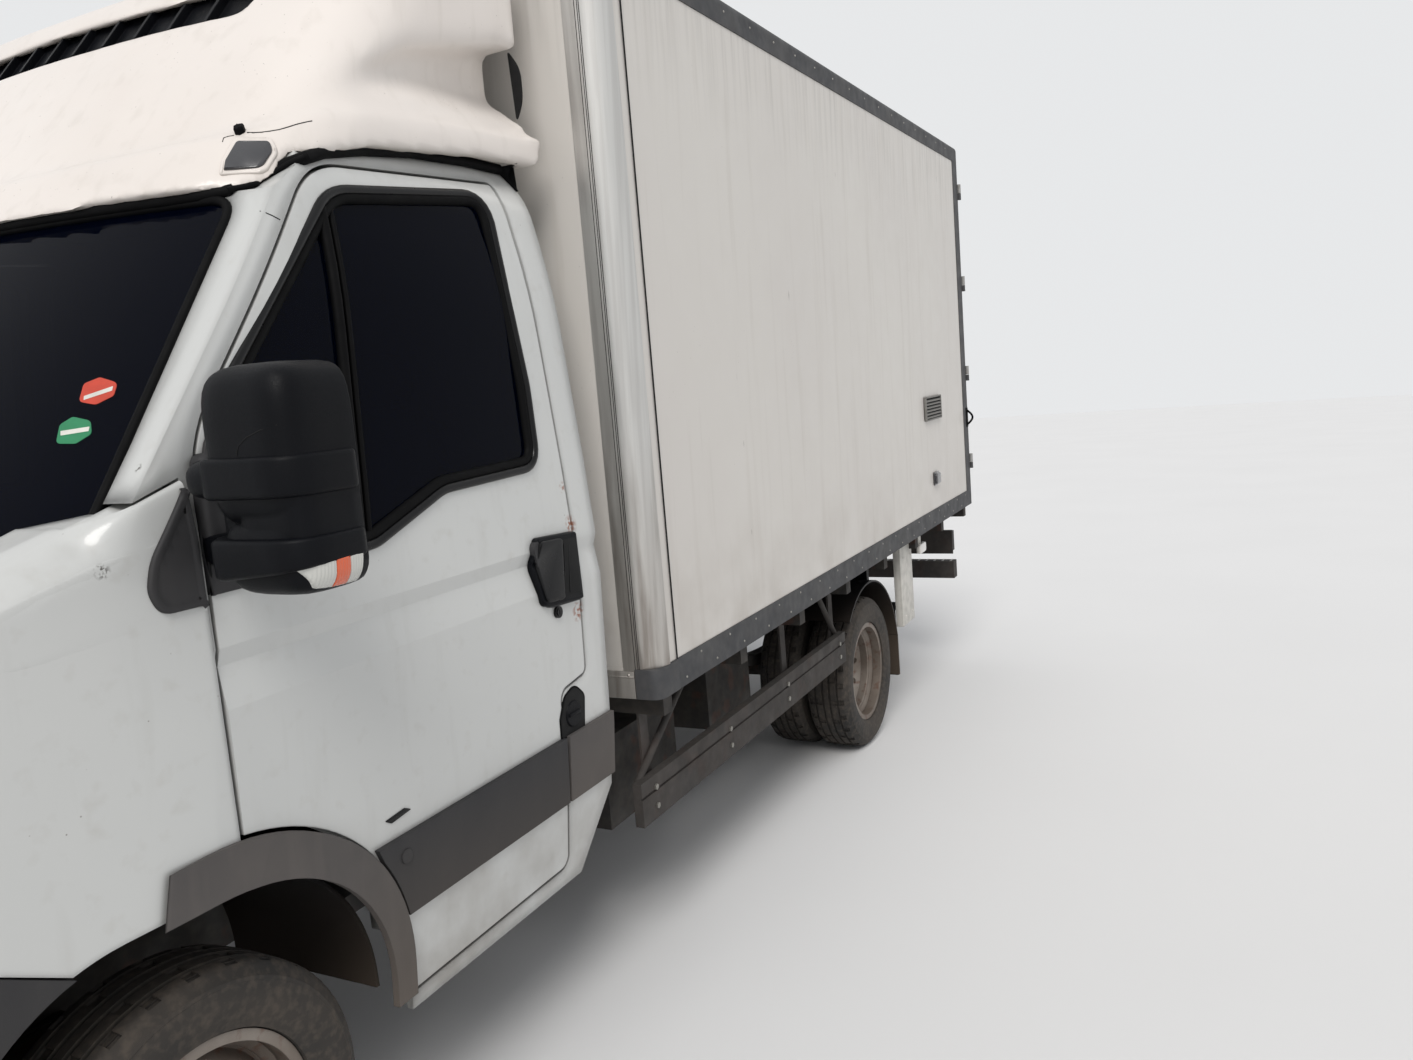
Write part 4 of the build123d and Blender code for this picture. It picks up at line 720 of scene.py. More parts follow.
def relaxed(node, voxel, *zones):
    """A moulded copy of a shell: remeshed finely, then smoothed as often as each zone says."""
    bm = bmesh.new()
    bm.from_mesh(nodes[node].data)
    bmesh.ops.remove_doubles(bm, verts=bm.verts, dist=1e-5)
    coarse = bpy.data.meshes.new("coarse")
    bm.to_mesh(coarse)
    bm.free()
    holder = bpy.data.objects.new("coarse", coarse)
    bpy.context.scene.collection.objects.link(holder)
    remesh = holder.modifiers.new("fine", "REMESH")
    remesh.mode = "VOXEL"
    remesh.voxel_size = voxel
    fine = bpy.data.meshes.new_from_object(holder.evaluated_get(bpy.context.evaluated_depsgraph_get()))
    bpy.data.objects.remove(holder)
    bpy.data.meshes.remove(coarse)
    bm = bmesh.new()
    bm.from_mesh(fine)
    bpy.data.meshes.remove(fine)
    for passes, belongs in ((2, lambda p: True), *zones):
        verts = [vert for vert in bm.verts if belongs(UNTILT @ vert.co)]
        for _ in range(passes):
            ease(bm, verts)
    return bm


def along(points, step):
    """Divide the runs of an open path so that none is longer than step."""
    found = [Vector(points[0])]
    for start, end in zip(points, points[1:]):
        start, end = Vector(start), Vector(end)
        pieces = max(1, int((end - start).length / step + 0.5))
        found += [start.lerp(end, k / pieces) for k in range(1, pieces + 1)]
    return found


# Tyres and wheels, with the wall's and tread's outline as (radius, half width)
TREAD_STEPS = 84
BEAD = [(0.2060, 0.0735), (0.2040, 0.0600), (0.2195, 0.0745)]
WALL = [(0.2215, 0.0862), (0.232, 0.0905), (0.236, 0.0905), (0.250, 0.0950), (0.268, 0.0972),
        (0.285, 0.0966), (0.299, 0.0938), (0.301, 0.0950), (0.307, 0.0938), (0.309, 0.0912), (0.3205, 0.0840)]
TREAD = [(0.3285, 0.0770), (0.3322, 0.0690), (0.3335, 0.0540), (0.3262, 0.0520), (0.3262, 0.0460),
         (0.3341, 0.0440), (0.3345, 0.0200), (0.3268, 0.0180), (0.3268, 0.0115), (0.3348, 0.0095)]
SHOULDER_NOTCH = (0.056, 0.075)
BLOCK_NOTCH = (0.020, 0.044)
NOTCH_DEPTH, NOTCH_LIP = 0.005, 0.0012
NUT_COUNT, NUT_CIRCLE, NUT_RADIUS = 6, 0.082, 0.0125
NUT_PARTS = ((0.0, 0.004, 1.35, 16), (0.004, 0.020, 1.0, 6), (0.020, 0.028, 0.5, 10))
FRONT_NUT_FACE, REAR_NUT_FACE = 0.100, 0.010
HUB_FACE, HUB_TIP, HUB_RADIUS, HUB_TIP_RADIUS = 0.112, 0.126, 0.052, 0.040


def notched(face):
    """Whether a face of the tread is one of its notches."""
    spot = face.calc_center_median()
    radius = (spot.x ** 2 + spot.z ** 2) ** 0.5
    turn = int((atan2(spot.z, spot.x) % (2 * pi)) / (2 * pi) * TREAD_STEPS)
    on_shoulder = radius > 0.3285 and SHOULDER_NOTCH[0] < abs(spot.y) < SHOULDER_NOTCH[1]
    on_block = radius > 0.333 and BLOCK_NOTCH[0] < abs(spot.y) < BLOCK_NOTCH[1]
    return on_shoulder and turn % 3 == 0 or on_block and turn % 4 == 1


def tyre(centre):
    """A road tyre: bellied walls, a scuff rib and four grooves, notched along its shoulders."""
    half = BEAD + WALL + TREAD
    bm = spun([(r, y, 0) for r, y in half] + [(r, -y, 0) for r, y in reversed(half)], TREAD_STEPS)
    notches = [face for face in bm.faces if notched(face)]
    bmesh.ops.inset_individual(bm, faces=notches, thickness=NOTCH_LIP, depth=-NOTCH_DEPTH)
    bmesh.ops.translate(bm, vec=centre, verts=bm.verts)
    return bm


def wheel_nuts(centre, face, outward):
    """A ring of nuts on washers, with the studs' tips."""
    bm = bmesh.new()
    out = Vector((0, outward, 0))
    for step in range(NUT_COUNT):
        angle = 2 * pi * step / NUT_COUNT
        foot = centre + Vector((NUT_CIRCLE * cos(angle), outward * face, NUT_CIRCLE * sin(angle)))
        for low, high, share, sides in NUT_PARTS:
            rod(foot + out * low, foot + out * high, NUT_RADIUS * share, sides, bm)
    return bm


def dress_wheels(side, outward):
    """The tyres and nuts of one side's wheels, and the front hub's cap."""
    front, rear = middle(f"front_tyre_{side}"), middle(f"rear_tyres_{side}")
    rubber = {"look": LOOKS["tyre_rubber"], "slot": "tyre_rubber", "tilted": False, "angle": 28}
    finish(f"tread_front_{side}", tyre(front), body=f"front_wheel_{side}", stands_for=[f"front_tyre_{side}"],
           **rubber)
    nuts = wheel_nuts(front, FRONT_NUT_FACE, outward)
    out = Vector((0, outward, 0))
    rod(front + out * HUB_FACE, front + out * HUB_TIP, HUB_RADIUS, 32, nuts, HUB_TIP_RADIUS)
    finish(f"wheel_nuts_front_{side}", nuts, ZINC, "lock_gear", f"front_wheel_{side}", tilted=False)
    twins = [tyre(rear + Vector((0, shift * TWIN_SPACING / 2, 0))) for shift in (1, -1)]
    finish(f"treads_rear_{side}", gathered(*twins), body=f"rear_wheels_{side}",
           stands_for=[f"rear_tyres_{side}"], **rubber)
    finish(f"wheel_nuts_rear_{side}", wheel_nuts(rear, REAR_NUT_FACE, outward), ZINC, "lock_gear",
           f"rear_wheels_{side}", tilted=False)


dress_wheels("left", 1)
dress_wheels("right", -1)


# Pieces traced where the photograph shows them
def traced(outline_px, thick, *names, soft=0.0, steps=2, sunk=0.0):
    """A plate whose outline (across, down, corner radius) is where the photograph shows it on a surface."""
    spots = [under_pixel(u, v, *names) for u, v in filleted(outline_px, 5)]
    heart = sum(spots, Vector()) / len(spots)
    ends = zip(spots, spots[1:] + spots[:1])
    out = sum(((first - heart).cross(second - heart) for first, second in ends), Vector()).normalized()
    out = out if out.y > 0 else -out
    bm = bmesh.new()
    verts = [bm.verts.new(spot - out * sunk) for spot in spots]
    return raised(bm, verts, out * (thick + sunk), soft, steps)


def traced_line(line_px, radius, *names, closed=False):
    """A bead laid where the photograph shows it on a surface."""
    return strand([under_pixel(u, v, *names) for u, v in line_px], radius, closed)


# Roof fairing, its foot along the cab's side as (x, z) and everything else as photograph pixels
DRIP = [(-0.41, 2.121), (-0.466, 2.149), (-0.533, 2.181), (-0.592, 2.201), (-0.719, 2.227), (-0.887, 2.249),
        (-1.09, 2.259), (-1.266, 2.256)]
CORNER_LENS = [(224, 172, 1), (225.5, 163, 4), (237, 143.5, 6), (270, 143.5, 6), (273.5, 153, 8),
               (262, 169.5, 12)]
CORNER_RIM = [(219, 176, 3), (221, 162, 6), (234, 138, 9), (272, 138, 9), (279, 153, 10), (266, 174, 14)]
CORNER_CLIP = [(234.5, 135, 1), (238, 130, 1.5), (246, 129, 1), (245, 132.5, 1), (240, 135.5, 1)]
SEAM_LINE = [(247, 132.6), (254, 132.8), (261.5, 132.4), (270, 131.3), (279, 129.8), (288, 127.2),
             (297, 124.3), (305, 122.4), (312, 121)]
FOLD_LINE = [(222.5, 142), (223.7, 138), (228, 136.6), (234, 135.6)]
CORNER_SEAL = [(228, 190.2), (235, 188.6), (242, 187.3), (249, 185.8), (256, 184), (262, 181.6),
               (267, 178.4), (272, 174.3), (277, 170.3), (283, 166.8), (289, 163.6), (296, 160.5),
               (304, 157.5)]
PILLAR_SEAM = [(260, 211.3), (266, 213), (272, 215.6), (280, 219.8)]


def drip_height(x):
    """How high the fairing's lower edge is at x."""
    for (x0, z0), (x1, z1) in zip(DRIP, DRIP[1:]):
        if x1 <= x <= x0:
            return z0 + (z1 - z0) * (x - x0) / (x1 - x0)
    return DRIP[0][1] if x > DRIP[0][0] else DRIP[-1][1]


def above_seal(p):
    """The fairing's open faces, away from its foot and its rear edge."""
    return p.z > drip_height(p.x) + 0.03 and p.x > -1.275


def round_duct(p):
    """The side ducts, which are the softest part of the moulding."""
    return above_seal(p) and abs(p.y) > 0.70 and p.x < -0.48 and p.z < 2.66


FAIRING_VOXEL = 0.0115
finish("moulded_fairing", relaxed("roof_fairing", FAIRING_VOXEL, (8, above_seal), (12, round_duct)),
       LOOKS["fairing_gelcoat"], "fairing_gelcoat", stands_for=["roof_fairing"], tilted=False, angle=60)
SHELL = "moulded_fairing"
DRIP_RADIUS = 0.0125
DRIP_END = -1.238


def drip_seal():
    """The thick rubber along the fairing's foot and across the windscreen's head, in one length."""
    ahead = [on_screen(step * 0.10, 2.107, 0.009) for step in range(8)]
    corner = [on_screen(0.77, 2.108, 0.008), on_screen(0.82, 2.111, 0.003)]
    line = [p for p in along([(x, 0, z) for x, z in DRIP[1:]], 0.05) if p.x > DRIP_END]
    side = [beside(p.x, p.z - 0.012, "cab_sides", "cab_roof", proud=0.004) for p in line]
    left = ahead + corner + [p + Vector((0, 0, 0.010)) for p in side]
    right = [Vector((p.x, -p.y, p.z)) for p in left[1:]]
    return strand(right[::-1] + left, DRIP_RADIUS)


def seal_end():
    """The rubber's flap where it dies behind the cab."""
    outline = [(-1.224, 2.262, 0.004), (-1.262, 2.262, 0.004), (-1.236, 2.190, 0.004)]
    return beside_plate(outline, 0.007, SHELL, "cab_sides", soft=0.002)


def corner_lens_rim():
    """The moulded lip round the corner lens."""
    return traced(CORNER_RIM, 0.006, SHELL, soft=0.005, steps=3, sunk=0.01)


def fairing_seam():
    """The hairline where the fairing's corner is joined on."""
    return gathered(traced_line(SEAM_LINE, 0.0011, SHELL), traced_line(FOLD_LINE, 0.0009, SHELL))


def duct_mouth():
    """A dark plate that paints the shade in the lens-shaped gap between the fairing's scoop and the box."""
    outline = filleted([(0.842, 2.550, 0.004), (0.876, 2.500, 0.15), (0.874, 2.420, 0.15),
                        (0.850, 2.376, 0.004)])
    return plate(outline, 0.004, lambda u, v, d: Vector((-1.296 + d, u, v)), soft=0.001)


pair("seal_end", seal_end, RUBBER, "dark_moulding")
pair("corner_lens_rim", corner_lens_rim, LOOKS["fairing_gelcoat"], "fairing_gelcoat")
pair("corner_lens", lambda: traced(CORNER_LENS, 0.009, SHELL, soft=0.003, sunk=0.002), SMOKED_LENS,
     "lamp_lens")
pair("fairing_clip", lambda: traced(CORNER_CLIP, 0.012, SHELL, soft=0.003), RUBBER, "dark_moulding")
pair("fairing_seam", fairing_seam, SEAM_BLACK_AND_PAINTED_SHADE, "dark_moulding")
pair("pillar_seam", lambda: traced_line(PILLAR_SEAM, 0.0011, "cab_sides"), SEAM_BLACK_AND_PAINTED_SHADE, "dark_moulding")
pair("duct_mouth", duct_mouth, SEAM_BLACK_AND_PAINTED_SHADE, "dark_moulding")

# Windscreen surround
SCREEN_CORNERS = [(0.912, 1.506, 0.04), (0.840, 2.098, 0.06), (-0.840, 2.098, 0.06), (-0.912, 1.506, 0.04)]
SCREEN_FOOT_X, SCREEN_FOOT_Z = 0.232, 1.470
SCREEN_RISE, SCREEN_SWEEP, SCREEN_HALF = 1.2322, 0.140, 0.9


def on_screen(y, z, out=0.0):
    """The windscreen's outer surface: leaning back, and swept back towards its sides."""
    x = SCREEN_FOOT_X - (z - SCREEN_FOOT_Z) / SCREEN_RISE - SCREEN_SWEEP * (y / SCREEN_HALF) ** 2
    return Vector((x + out, y, z))


def screen_seal():
    """The black rubber all round the windscreen."""
    corners = filleted(SCREEN_CORNERS, 8)
    line = along([(0, u, v) for u, v in corners + corners[:1]], 0.06)[:-1]
    return strand([on_screen(p.y, p.z, -0.001) for p in line], 0.009, closed=True)


def corner_seal():
    """The drip rubber where it turns from the windscreen's head to the cab's side."""
    under = (SHELL, "cab_sides", "cab_roof", "windscreen", "door_left", "windscreen_seal", "drip_seal")
    return traced_line(CORNER_SEAL, 0.0055, *under)


finish("windscreen_seal", screen_seal(), RUBBER, "dark_moulding")
finish("drip_seal", drip_seal(), RUBBER, "dark_moulding")
pair("corner_seal", corner_seal, RUBBER, "dark_moulding")

# Wing root, from the door's gap forward along the wing's top edge
FOOT_FRONT, FOOT_REAR = (0.060, 1.568), (-0.0915, 1.618)
ROOT_REAR_X, ROOT_FRONT_X = -0.0900, 0.32
ROOT_COLUMNS, ROOT_ROWS = 26, 16
ROOT_LOW = 1.38
ROOT_HUB = Vector((0.86, 1.36))
ROOT_SKIN, ROOT_SIDE_SKIN, ROOT_TUCK = 0.0008, 0.0006, 0.0015
ROOT_INNER, PILLAR_INNER, INNER_SWEEP = 0.912, 0.9785, 0.055
ROOT_FADE, ROOT_EDGE_SINK = 0.16, 0.002


def root_knots(x):
    """Four (y, z) knots of the shoulder's curve at x: from the wing's side up and over to its inner edge."""
    side = land((x, 2.0, ROOT_LOW), (0, -1, 0), "fenders")[0].y
    if x < FOOT_FRONT[0]:
        back = (FOOT_FRONT[0] - x) / (FOOT_FRONT[0] - FOOT_REAR[0])
        high = FOOT_FRONT[1] + (FOOT_REAR[1] - FOOT_FRONT[1]) * back - 0.004
        inner = PILLAR_INNER - INNER_SWEEP * max(0.0, 1 - back / 0.45) ** 1.5
    else:
        inner = ROOT_INNER
        high = land((x, inner, 2.0), (0, 0, -1), "fenders")[0].z + ROOT_SKIN
    square = 0.012 + 0.07 * min(1.0, max(0.0, (x + 0.03) / 0.2))
    outer = side + ROOT_SIDE_SKIN
    return (Vector((outer, ROOT_LOW)), Vector((outer, high - square * 1.3)),
            Vector((inner + min(square * 1.1, side - inner), high - square * 0.12)), Vector((inner, high)))


def over_wing(x, point):
    """The point moved out from the hub to clear the wing, and down onto the wing at the root's front end."""
    fade = min(1.0, max(0.0, (ROOT_FRONT_X - x) / ROOT_FADE))
    ray = (point - ROOT_HUB).normalized()
    far = ROOT_HUB + ray * 0.5
    hit = land((x, far.x, far.y), (0, -ray.x, -ray.y), "fenders")
    if not hit or hit[0].y <= 0.88 or hit[0].z <= 1.3:
        return point
    wing = (Vector((hit[0].y, hit[0].z)) - ROOT_HUB).length
    reach = max((point - ROOT_HUB).length, wing + ROOT_SKIN)
    return ROOT_HUB + ray * (fade * reach + (1 - fade) * (wing - ROOT_TUCK))


def wing_root():
    """The wing's shoulder, carried up to the pillar's foot in one smooth surface."""
    bm = bmesh.new()
    grid = bmesh.ops.create_grid(bm, x_segments=ROOT_COLUMNS, y_segments=ROOT_ROWS, size=1)["verts"]
    for column in range(ROOT_COLUMNS + 1):
        x = ROOT_REAR_X + (ROOT_FRONT_X - ROOT_REAR_X) * column / ROOT_COLUMNS
        a, b, c, d = root_knots(x)
        for row in range(ROOT_ROWS + 1):
            t = row / ROOT_ROWS
            point = (1 - t) ** 3 * a + 3 * t * (1 - t) ** 2 * b + 3 * t ** 2 * (1 - t) * c + t ** 3 * d
            point = over_wing(x, point)
            if row == 0:
                point.x -= ROOT_EDGE_SINK
            grid[row * (ROOT_COLUMNS + 1) + column].co = (x, point.x, point.y)
    ease(bm, [vert for vert in bm.verts if not vert.is_boundary])
    return bm


pair("wing_root", wing_root, LOOKS["cab_paint"], "cab_paint", angle=80)
WING = ("wing_root_left", "fenders")
TRIANGLE = [(-0.0890, 1.607, 0.006), (-0.008, 1.500, 0.14), (0.004, 1.452, 0.05), (-0.012, 1.414, 0.03),
            (-0.0890, 1.414, 0.003)]


def wing_triangle():
    """The black grained panel on the wing's rear corner, with a raised rim."""
    bm = plate(filleted(TRIANGLE), 0.0075, lambda u, v, d: Vector((u, ASIDE + d, v)), soft=0.004, steps=3)
    bmesh.ops.recalc_face_normals(bm, faces=bm.faces)
    top = max((face for face in bm.faces if face.normal.y > 0.9), key=lambda face: face.calc_area())
    bmesh.ops.inset_region(bm, faces=[top], thickness=0.006, depth=0.0)
    bmesh.ops.inset_region(bm, faces=[top], thickness=0.002, depth=-0.0015)
    sliced(bm, (0, 0, 1), 1.43, 1.60, 9)
    sliced(bm, (1, 0, 0), -0.075, -0.005, 5)
    return lay(bm, (0, ASIDE, 0), (0, -1, 0), *WING)


pair("wing_triangle", wing_triangle, LOOKS["dark_moulding"], "dark_moulding", angle=50)

# Cab openings
WINDOW = [(-0.185, 1.445, 0.02), (-0.185, 1.725, 0.06), (-0.562, 2.120, 0.15), (-1.062, 2.168, 0.06),
          (-1.050, 1.700, 0.9), (-1.036, 1.532, 0.06), (-0.700, 1.522, 0.15), (-0.480, 1.445, 0.12)]


def edge_line(grow, *names, proud=0.0):
    """A closed line round the window, drawn out by grow and laid on the surface."""
    outline = filleted(WINDOW)
    centre = sum(outline, Vector((0, 0))) / len(outline)
    found = []
    for index, here in enumerate(outline):
        tangent = (outline[(index + 1) % len(outline)] - outline[index - 1]).normalized()
        out = Vector((tangent.y, -tangent.x))
        out = out if out.dot(here - centre) > 0 else -out
        u, v = here + out * grow
        found.append(beside(u, v, *names, proud=proud))
    return found


def window_seal():
    """The glossy rubber round the door's window."""
    return strand(edge_line(0.002, "door_left"), 0.010, closed=True)


def glass_channel():
    """The dull channel that the glass runs in."""
    return strand(edge_line(-0.014, "door_glass_left", proud=0.002), 0.012, closed=True)


def quarter_light_bar():
    """The bar between the quarter light and the sliding glass, with its second lip."""
    line = along([(-0.534, 0, 2.085), (-0.448, 0, 1.452)], 0.06)
    spots = [beside(p.x, p.z, "door_glass_left", proud=0.004) for p in line]
    return gathered(strand(spots, 0.011), strand([spot + Vector((-0.024, 0, 0)) for spot in spots], 0.006))


pair("window_seal", window_seal, GLOSS_BLACK, "dark_moulding", "cab_door")
pair("glass_channel", glass_channel, RUBBER, "dark_moulding", "cab_door")
pair("quarter_light_bar", quarter_light_bar, RUBBER, "dark_moulding", "cab_door")

# Door furniture
HANDLE = [(526.5, 568, 22), (532, 538.5, 5), (571, 531, 3), (579, 598, 3), (541, 608, 6)]
HANDLE_WELL = [(552, 541, 3), (569.5, 537, 2), (575.5, 592, 2), (554, 598, 3)]
HANDLE_GRIP = [(529, 567, 18), (534, 542, 5), (556, 537.5, 4), (559, 599, 4), (542, 603.5, 5)]
HANDLE_RIDGES = [[(553, 545), (554, 592)], [(557.5, 544), (559, 594)], [(562, 545), (564, 592)]]
RIDGE_PROUD = 0.0185
LOCK_SPOT = (557, 612)
SLOT_PLATE = [(384.5, 822, 1), (404, 808, 1), (411, 808.5, 1), (391, 823.5, 1)]
TRIM_PLUG = (407, 856)


def handle_cup():
    """The black pull handle's surround."""
    return traced(HANDLE, 0.017, "door_left", soft=0.006, steps=3, sunk=0.002)


def handle_well():
    """A dark plate in the hollow behind the grip: painted shade."""
    return traced(HANDLE_WELL, 0.0178, "door_left", soft=0.001)


def handle_grip():
    """The lever's grip, standing a little prouder than its surround, with three ridges."""
    parts = [traced(HANDLE_GRIP, 0.022, "door_left", soft=0.005, steps=3)]
    for ridge in HANDLE_RIDGES:
        spots = [under_pixel(u, v, "door_left") + Vector((0, RIDGE_PROUD, 0)) for u, v in ridge]
        parts.append(strand(spots, 0.0014))
    return gathered(*parts)


def door_lock():
    """The lock's barrel with its key slot."""
    spot = under_pixel(*LOCK_SPOT, "door_left")
    bm = rod(spot - Vector((0, 0.004, 0)), spot + Vector((0, 0.007, 0)), 0.0145, 24)
    rod(spot + Vector((0, 0.006, 0)), spot + Vector((0, 0.009, 0)), 0.010, 24, bm)
    return slab(spot + Vector((-0.0015, 0.008, -0.006)), spot + Vector((0.0015, 0.0098, 0.006)), bm=bm)


def trim_plug():
    """The round plug in the door's cladding strip."""
    spot = under_pixel(*TRIM_PLUG, "door_trim_left", "door_left")
    return rod(spot - Vector((0, 0.004, 0)), spot + Vector((0, 0.003, 0)), 0.015, 32)


pair("handle_cup", handle_cup, LOOKS["black_moulding"], "black_moulding", "cab_door")
pair("handle_well", handle_well, SEAM_BLACK_AND_PAINTED_SHADE, "black_moulding", "cab_door")
pair("handle_grip", handle_grip, GLOSS_BLACK, "black_moulding", "cab_door")
pair("door_lock", door_lock, GLOSS_BLACK, "black_moulding", "cab_door")
pair("trim_plug", trim_plug, LOOKS["dark_moulding"], "dark_moulding", "cab_door")
pair("sill_slot", lambda: traced(SLOT_PLATE, 0.003, "door_left", soft=0.001), GLOSS_BLACK,
     "black_moulding", "cab_door")

# Mirror
MIRROR_BACK = -0.162
MIRROR_OUT = 1.2935
MIRROR_FRONT = -0.0215
BANDS = ((1.466, 1.528, 0.30), (1.586, 1.648, 0.0))
BAND_ROOT_Y = 1.16
PANES = ((1.498, 1.582), (1.600, 1.758))
PANE_IN, PANE_OUT, PANE_RADIUS = 1.118, 1.268, 0.015
PANEL_LINE = [(1.189, 1.650), (1.190, 1.656), (1.196, 1.665), (1.212, 1.675), (1.240, 1.684), (1.268, 1.690)]
SAIL = [(-0.1055, 1.425, 0.004), (-0.1065, 1.50, 0.1), (-0.1240, 1.606, 0.004), (-0.150, 1.668, 0.004),
        (-0.183, 1.715, 0.004), (-0.183, 1.425, 0.004)]


def flat_back(bm):
    """Cut a moulding's rounded back off flat, where the glass goes."""
    for vert in bm.verts:
        vert.co.x = max(vert.co.x, MIRROR_BACK)
    return bm


def mirror_shell():
    """The housing: a domed hood, the stretch between the bands with its hinge block, and the bowl."""
    hood = pillow((-0.215, 1.098, 1.540), (-0.029, 1.288, 1.781), 4.6, 11)
    waist = pillow((-0.200, 1.146, 1.480), (-0.040, 1.285, 1.640), 6.0)
    block = pillow((-0.190, 1.096, 1.480), (-0.060, 1.165, 1.640), 7.0)
    bowl = pillow((-0.205, 1.100, 1.436), (-0.034, 1.288, 1.560), 3.6, 11)
    return flat_back(gathered(hood, waist, block, bowl))


def band_strap(low, high, taper):
    """A thick strap round the housing, lower at its outer end by the taper."""
    outline = filleted([(MIRROR_BACK, 1.100, 0.004), (MIRROR_BACK, MIRROR_OUT, 0.02),
                        (MIRROR_FRONT, MIRROR_OUT, 0.07), (MIRROR_FRONT, 1.100, 0.03)])
    bm = plate(outline, high - low, lambda u, v, d: Vector((u, v, low + d)))
    rim = [edge for edge in bm.edges if abs(edge.verts[0].co.z - edge.verts[1].co.z) < 1e-6
           and len(edge.link_faces) == 2]
    round_off(bm, rim, 0.009, 4)
    for vert in bm.verts:
        out = min(1.0, max(0.0, (vert.co.y - BAND_ROOT_Y) / (MIRROR_OUT - BAND_ROOT_Y)))
        vert.co.z = high - (high - vert.co.z) * (1 - taper * out)
    return bm


def band_knuckle(low, high):
    """The bulge at a strap's inner end. The lower one is chamfered to pass the wing when the door opens."""
    bm = flat_back(pillow((-0.19, 1.052, low - 0.003), (-0.026, 1.150, high), 3.2))
    if low == BANDS[0][0]:
        for vert in bm.verts:
            vert.co.x = min(vert.co.x, -0.132 + 0.84 * (vert.co.y - 0.997))
    return bm


def mirror_bands():
    """Two thick straps round the housing, bulging at their inner ends, with the arms behind them."""
    parts = []
    for low, high, taper in BANDS:
        arm = pillow((-0.155, 0.975, low + 0.006), (-0.108, 1.110, high - 0.006), 5.0)
        parts += [band_strap(low, high, taper), band_knuckle(low, high), arm]
    return gathered(*parts)


def mirror_foot():
    """The black panel in the window's front corner that carries the mirror's arms."""
    panel = beside_plate(SAIL, 0.006, "door_left", soft=0.002)
    foot = pillow((-0.196, 0.955, 1.462), (-0.112, 1.006, 1.652), 5.0)
    return gathered(panel, foot)


def door_edge_strip():
    """The glossy rubber lip along the door's front edge, beside the wing's panel."""
    spots = []
    for step in range(9):
        x, z = -0.095, 1.424 + step * 0.023
        while not land((x, 1.2, z), (0, -1, 0), "door_left"):
            x -= 0.001
        spots.append(beside(x - 0.003, z, "door_left"))
    return strand(spots, 0.0042)


def pane_outlines():
    """The outlines (y, z) of the mirror's lower and upper glass."""
    return [filleted([(u, v, PANE_RADIUS) for u, v in ((PANE_IN, low), (PANE_IN, high), (PANE_OUT, high),
                                                       (PANE_OUT, low))]) for low, high in PANES]


def mirror_glass():
    """The mirror's two panes, facing rearward."""
    bm = bmesh.new()
    for outline in pane_outlines():
        plate(outline, 0.003, lambda u, v, d: Vector((MIRROR_BACK - 0.0005 - d, u, v)), soft=0.001, bm=bm)
    return bm


def mirror_rims():
    """The rubber round each pane."""
    return gathered(*[strand([(MIRROR_BACK - 0.001, u, v) for u, v in outline], 0.005, closed=True)
                      for outline in pane_outlines()])


def panel_line():
    """The hairline round the housing's front panel."""
    spots = [land((1.0, y, z), (-1, 0, 0), "mirror_shell_left")[0] for y, z in PANEL_LINE]
    return strand(spots, 0.0009)


def indicator(outline, proud):
    """One section of the lamp on the bowl's outer side, from its outline (x, z, corner radius)."""
    def make():
        bm = plate(filleted(outline), proud, lambda u, v, d: Vector((u, 1.4 + d, v)), soft=0.002)
        sliced(bm, (0, 0, 1), 1.450, 1.486, 6)
        sliced(bm, (1, 0, 0), -0.140, -0.045, 10)
        return lay(bm, (0, 1.4, 0), (0, -1, 0), "mirror_shell_left")
    return make


INDICATOR = {
    "indicator_front": ([(-0.038, 1.487, 0.004), (-0.062, 1.450, 0.012), (-0.090, 1.447, 0.002),
                         (-0.090, 1.489, 0.002)], 0.0050, CLEAR),
    "indicator_middle": ([(-0.090, 1.447, 0.001), (-0.117, 1.446, 0.001), (-0.117, 1.490, 0.001),
                          (-0.090, 1.489, 0.001)], 0.0056, AMBER),
    "indicator_rear": ([(-0.117, 1.446, 0.001), (-0.140, 1.446, 0.003), (-0.145, 1.492, 0.003),
                        (-0.117, 1.490, 0.001)], 0.0050, CLEAR),
}
MIRROR_LOOK = {"body": "cab_door", "stands_for": ["mirror"], "angle": 50}
pair("mirror_shell", mirror_shell, LOOKS["black_moulding"], "black_moulding", **MIRROR_LOOK)
pair("mirror_bands", mirror_bands, LOOKS["black_moulding"], "black_moulding", **MIRROR_LOOK)
pair("mirror_foot", mirror_foot, LOOKS["dark_moulding"], "dark_moulding", **MIRROR_LOOK)
pair("mirror_glass", mirror_glass, MIRROR_GLASS, "cab_glass", "cab_door")
pair("mirror_rims", mirror_rims, RUBBER, "black_moulding", "cab_door")
pair("mirror_panel_line", panel_line, SEAM_BLACK_AND_PAINTED_SHADE, "black_moulding", "cab_door")
pair("door_edge_strip", door_edge_strip, GLOSS_BLACK, "dark_moulding", "cab_door")
for lens, (outline, proud, look) in INDICATOR.items():
    pair(lens, indicator(outline, proud), look, "lamp_lens", "cab_door")


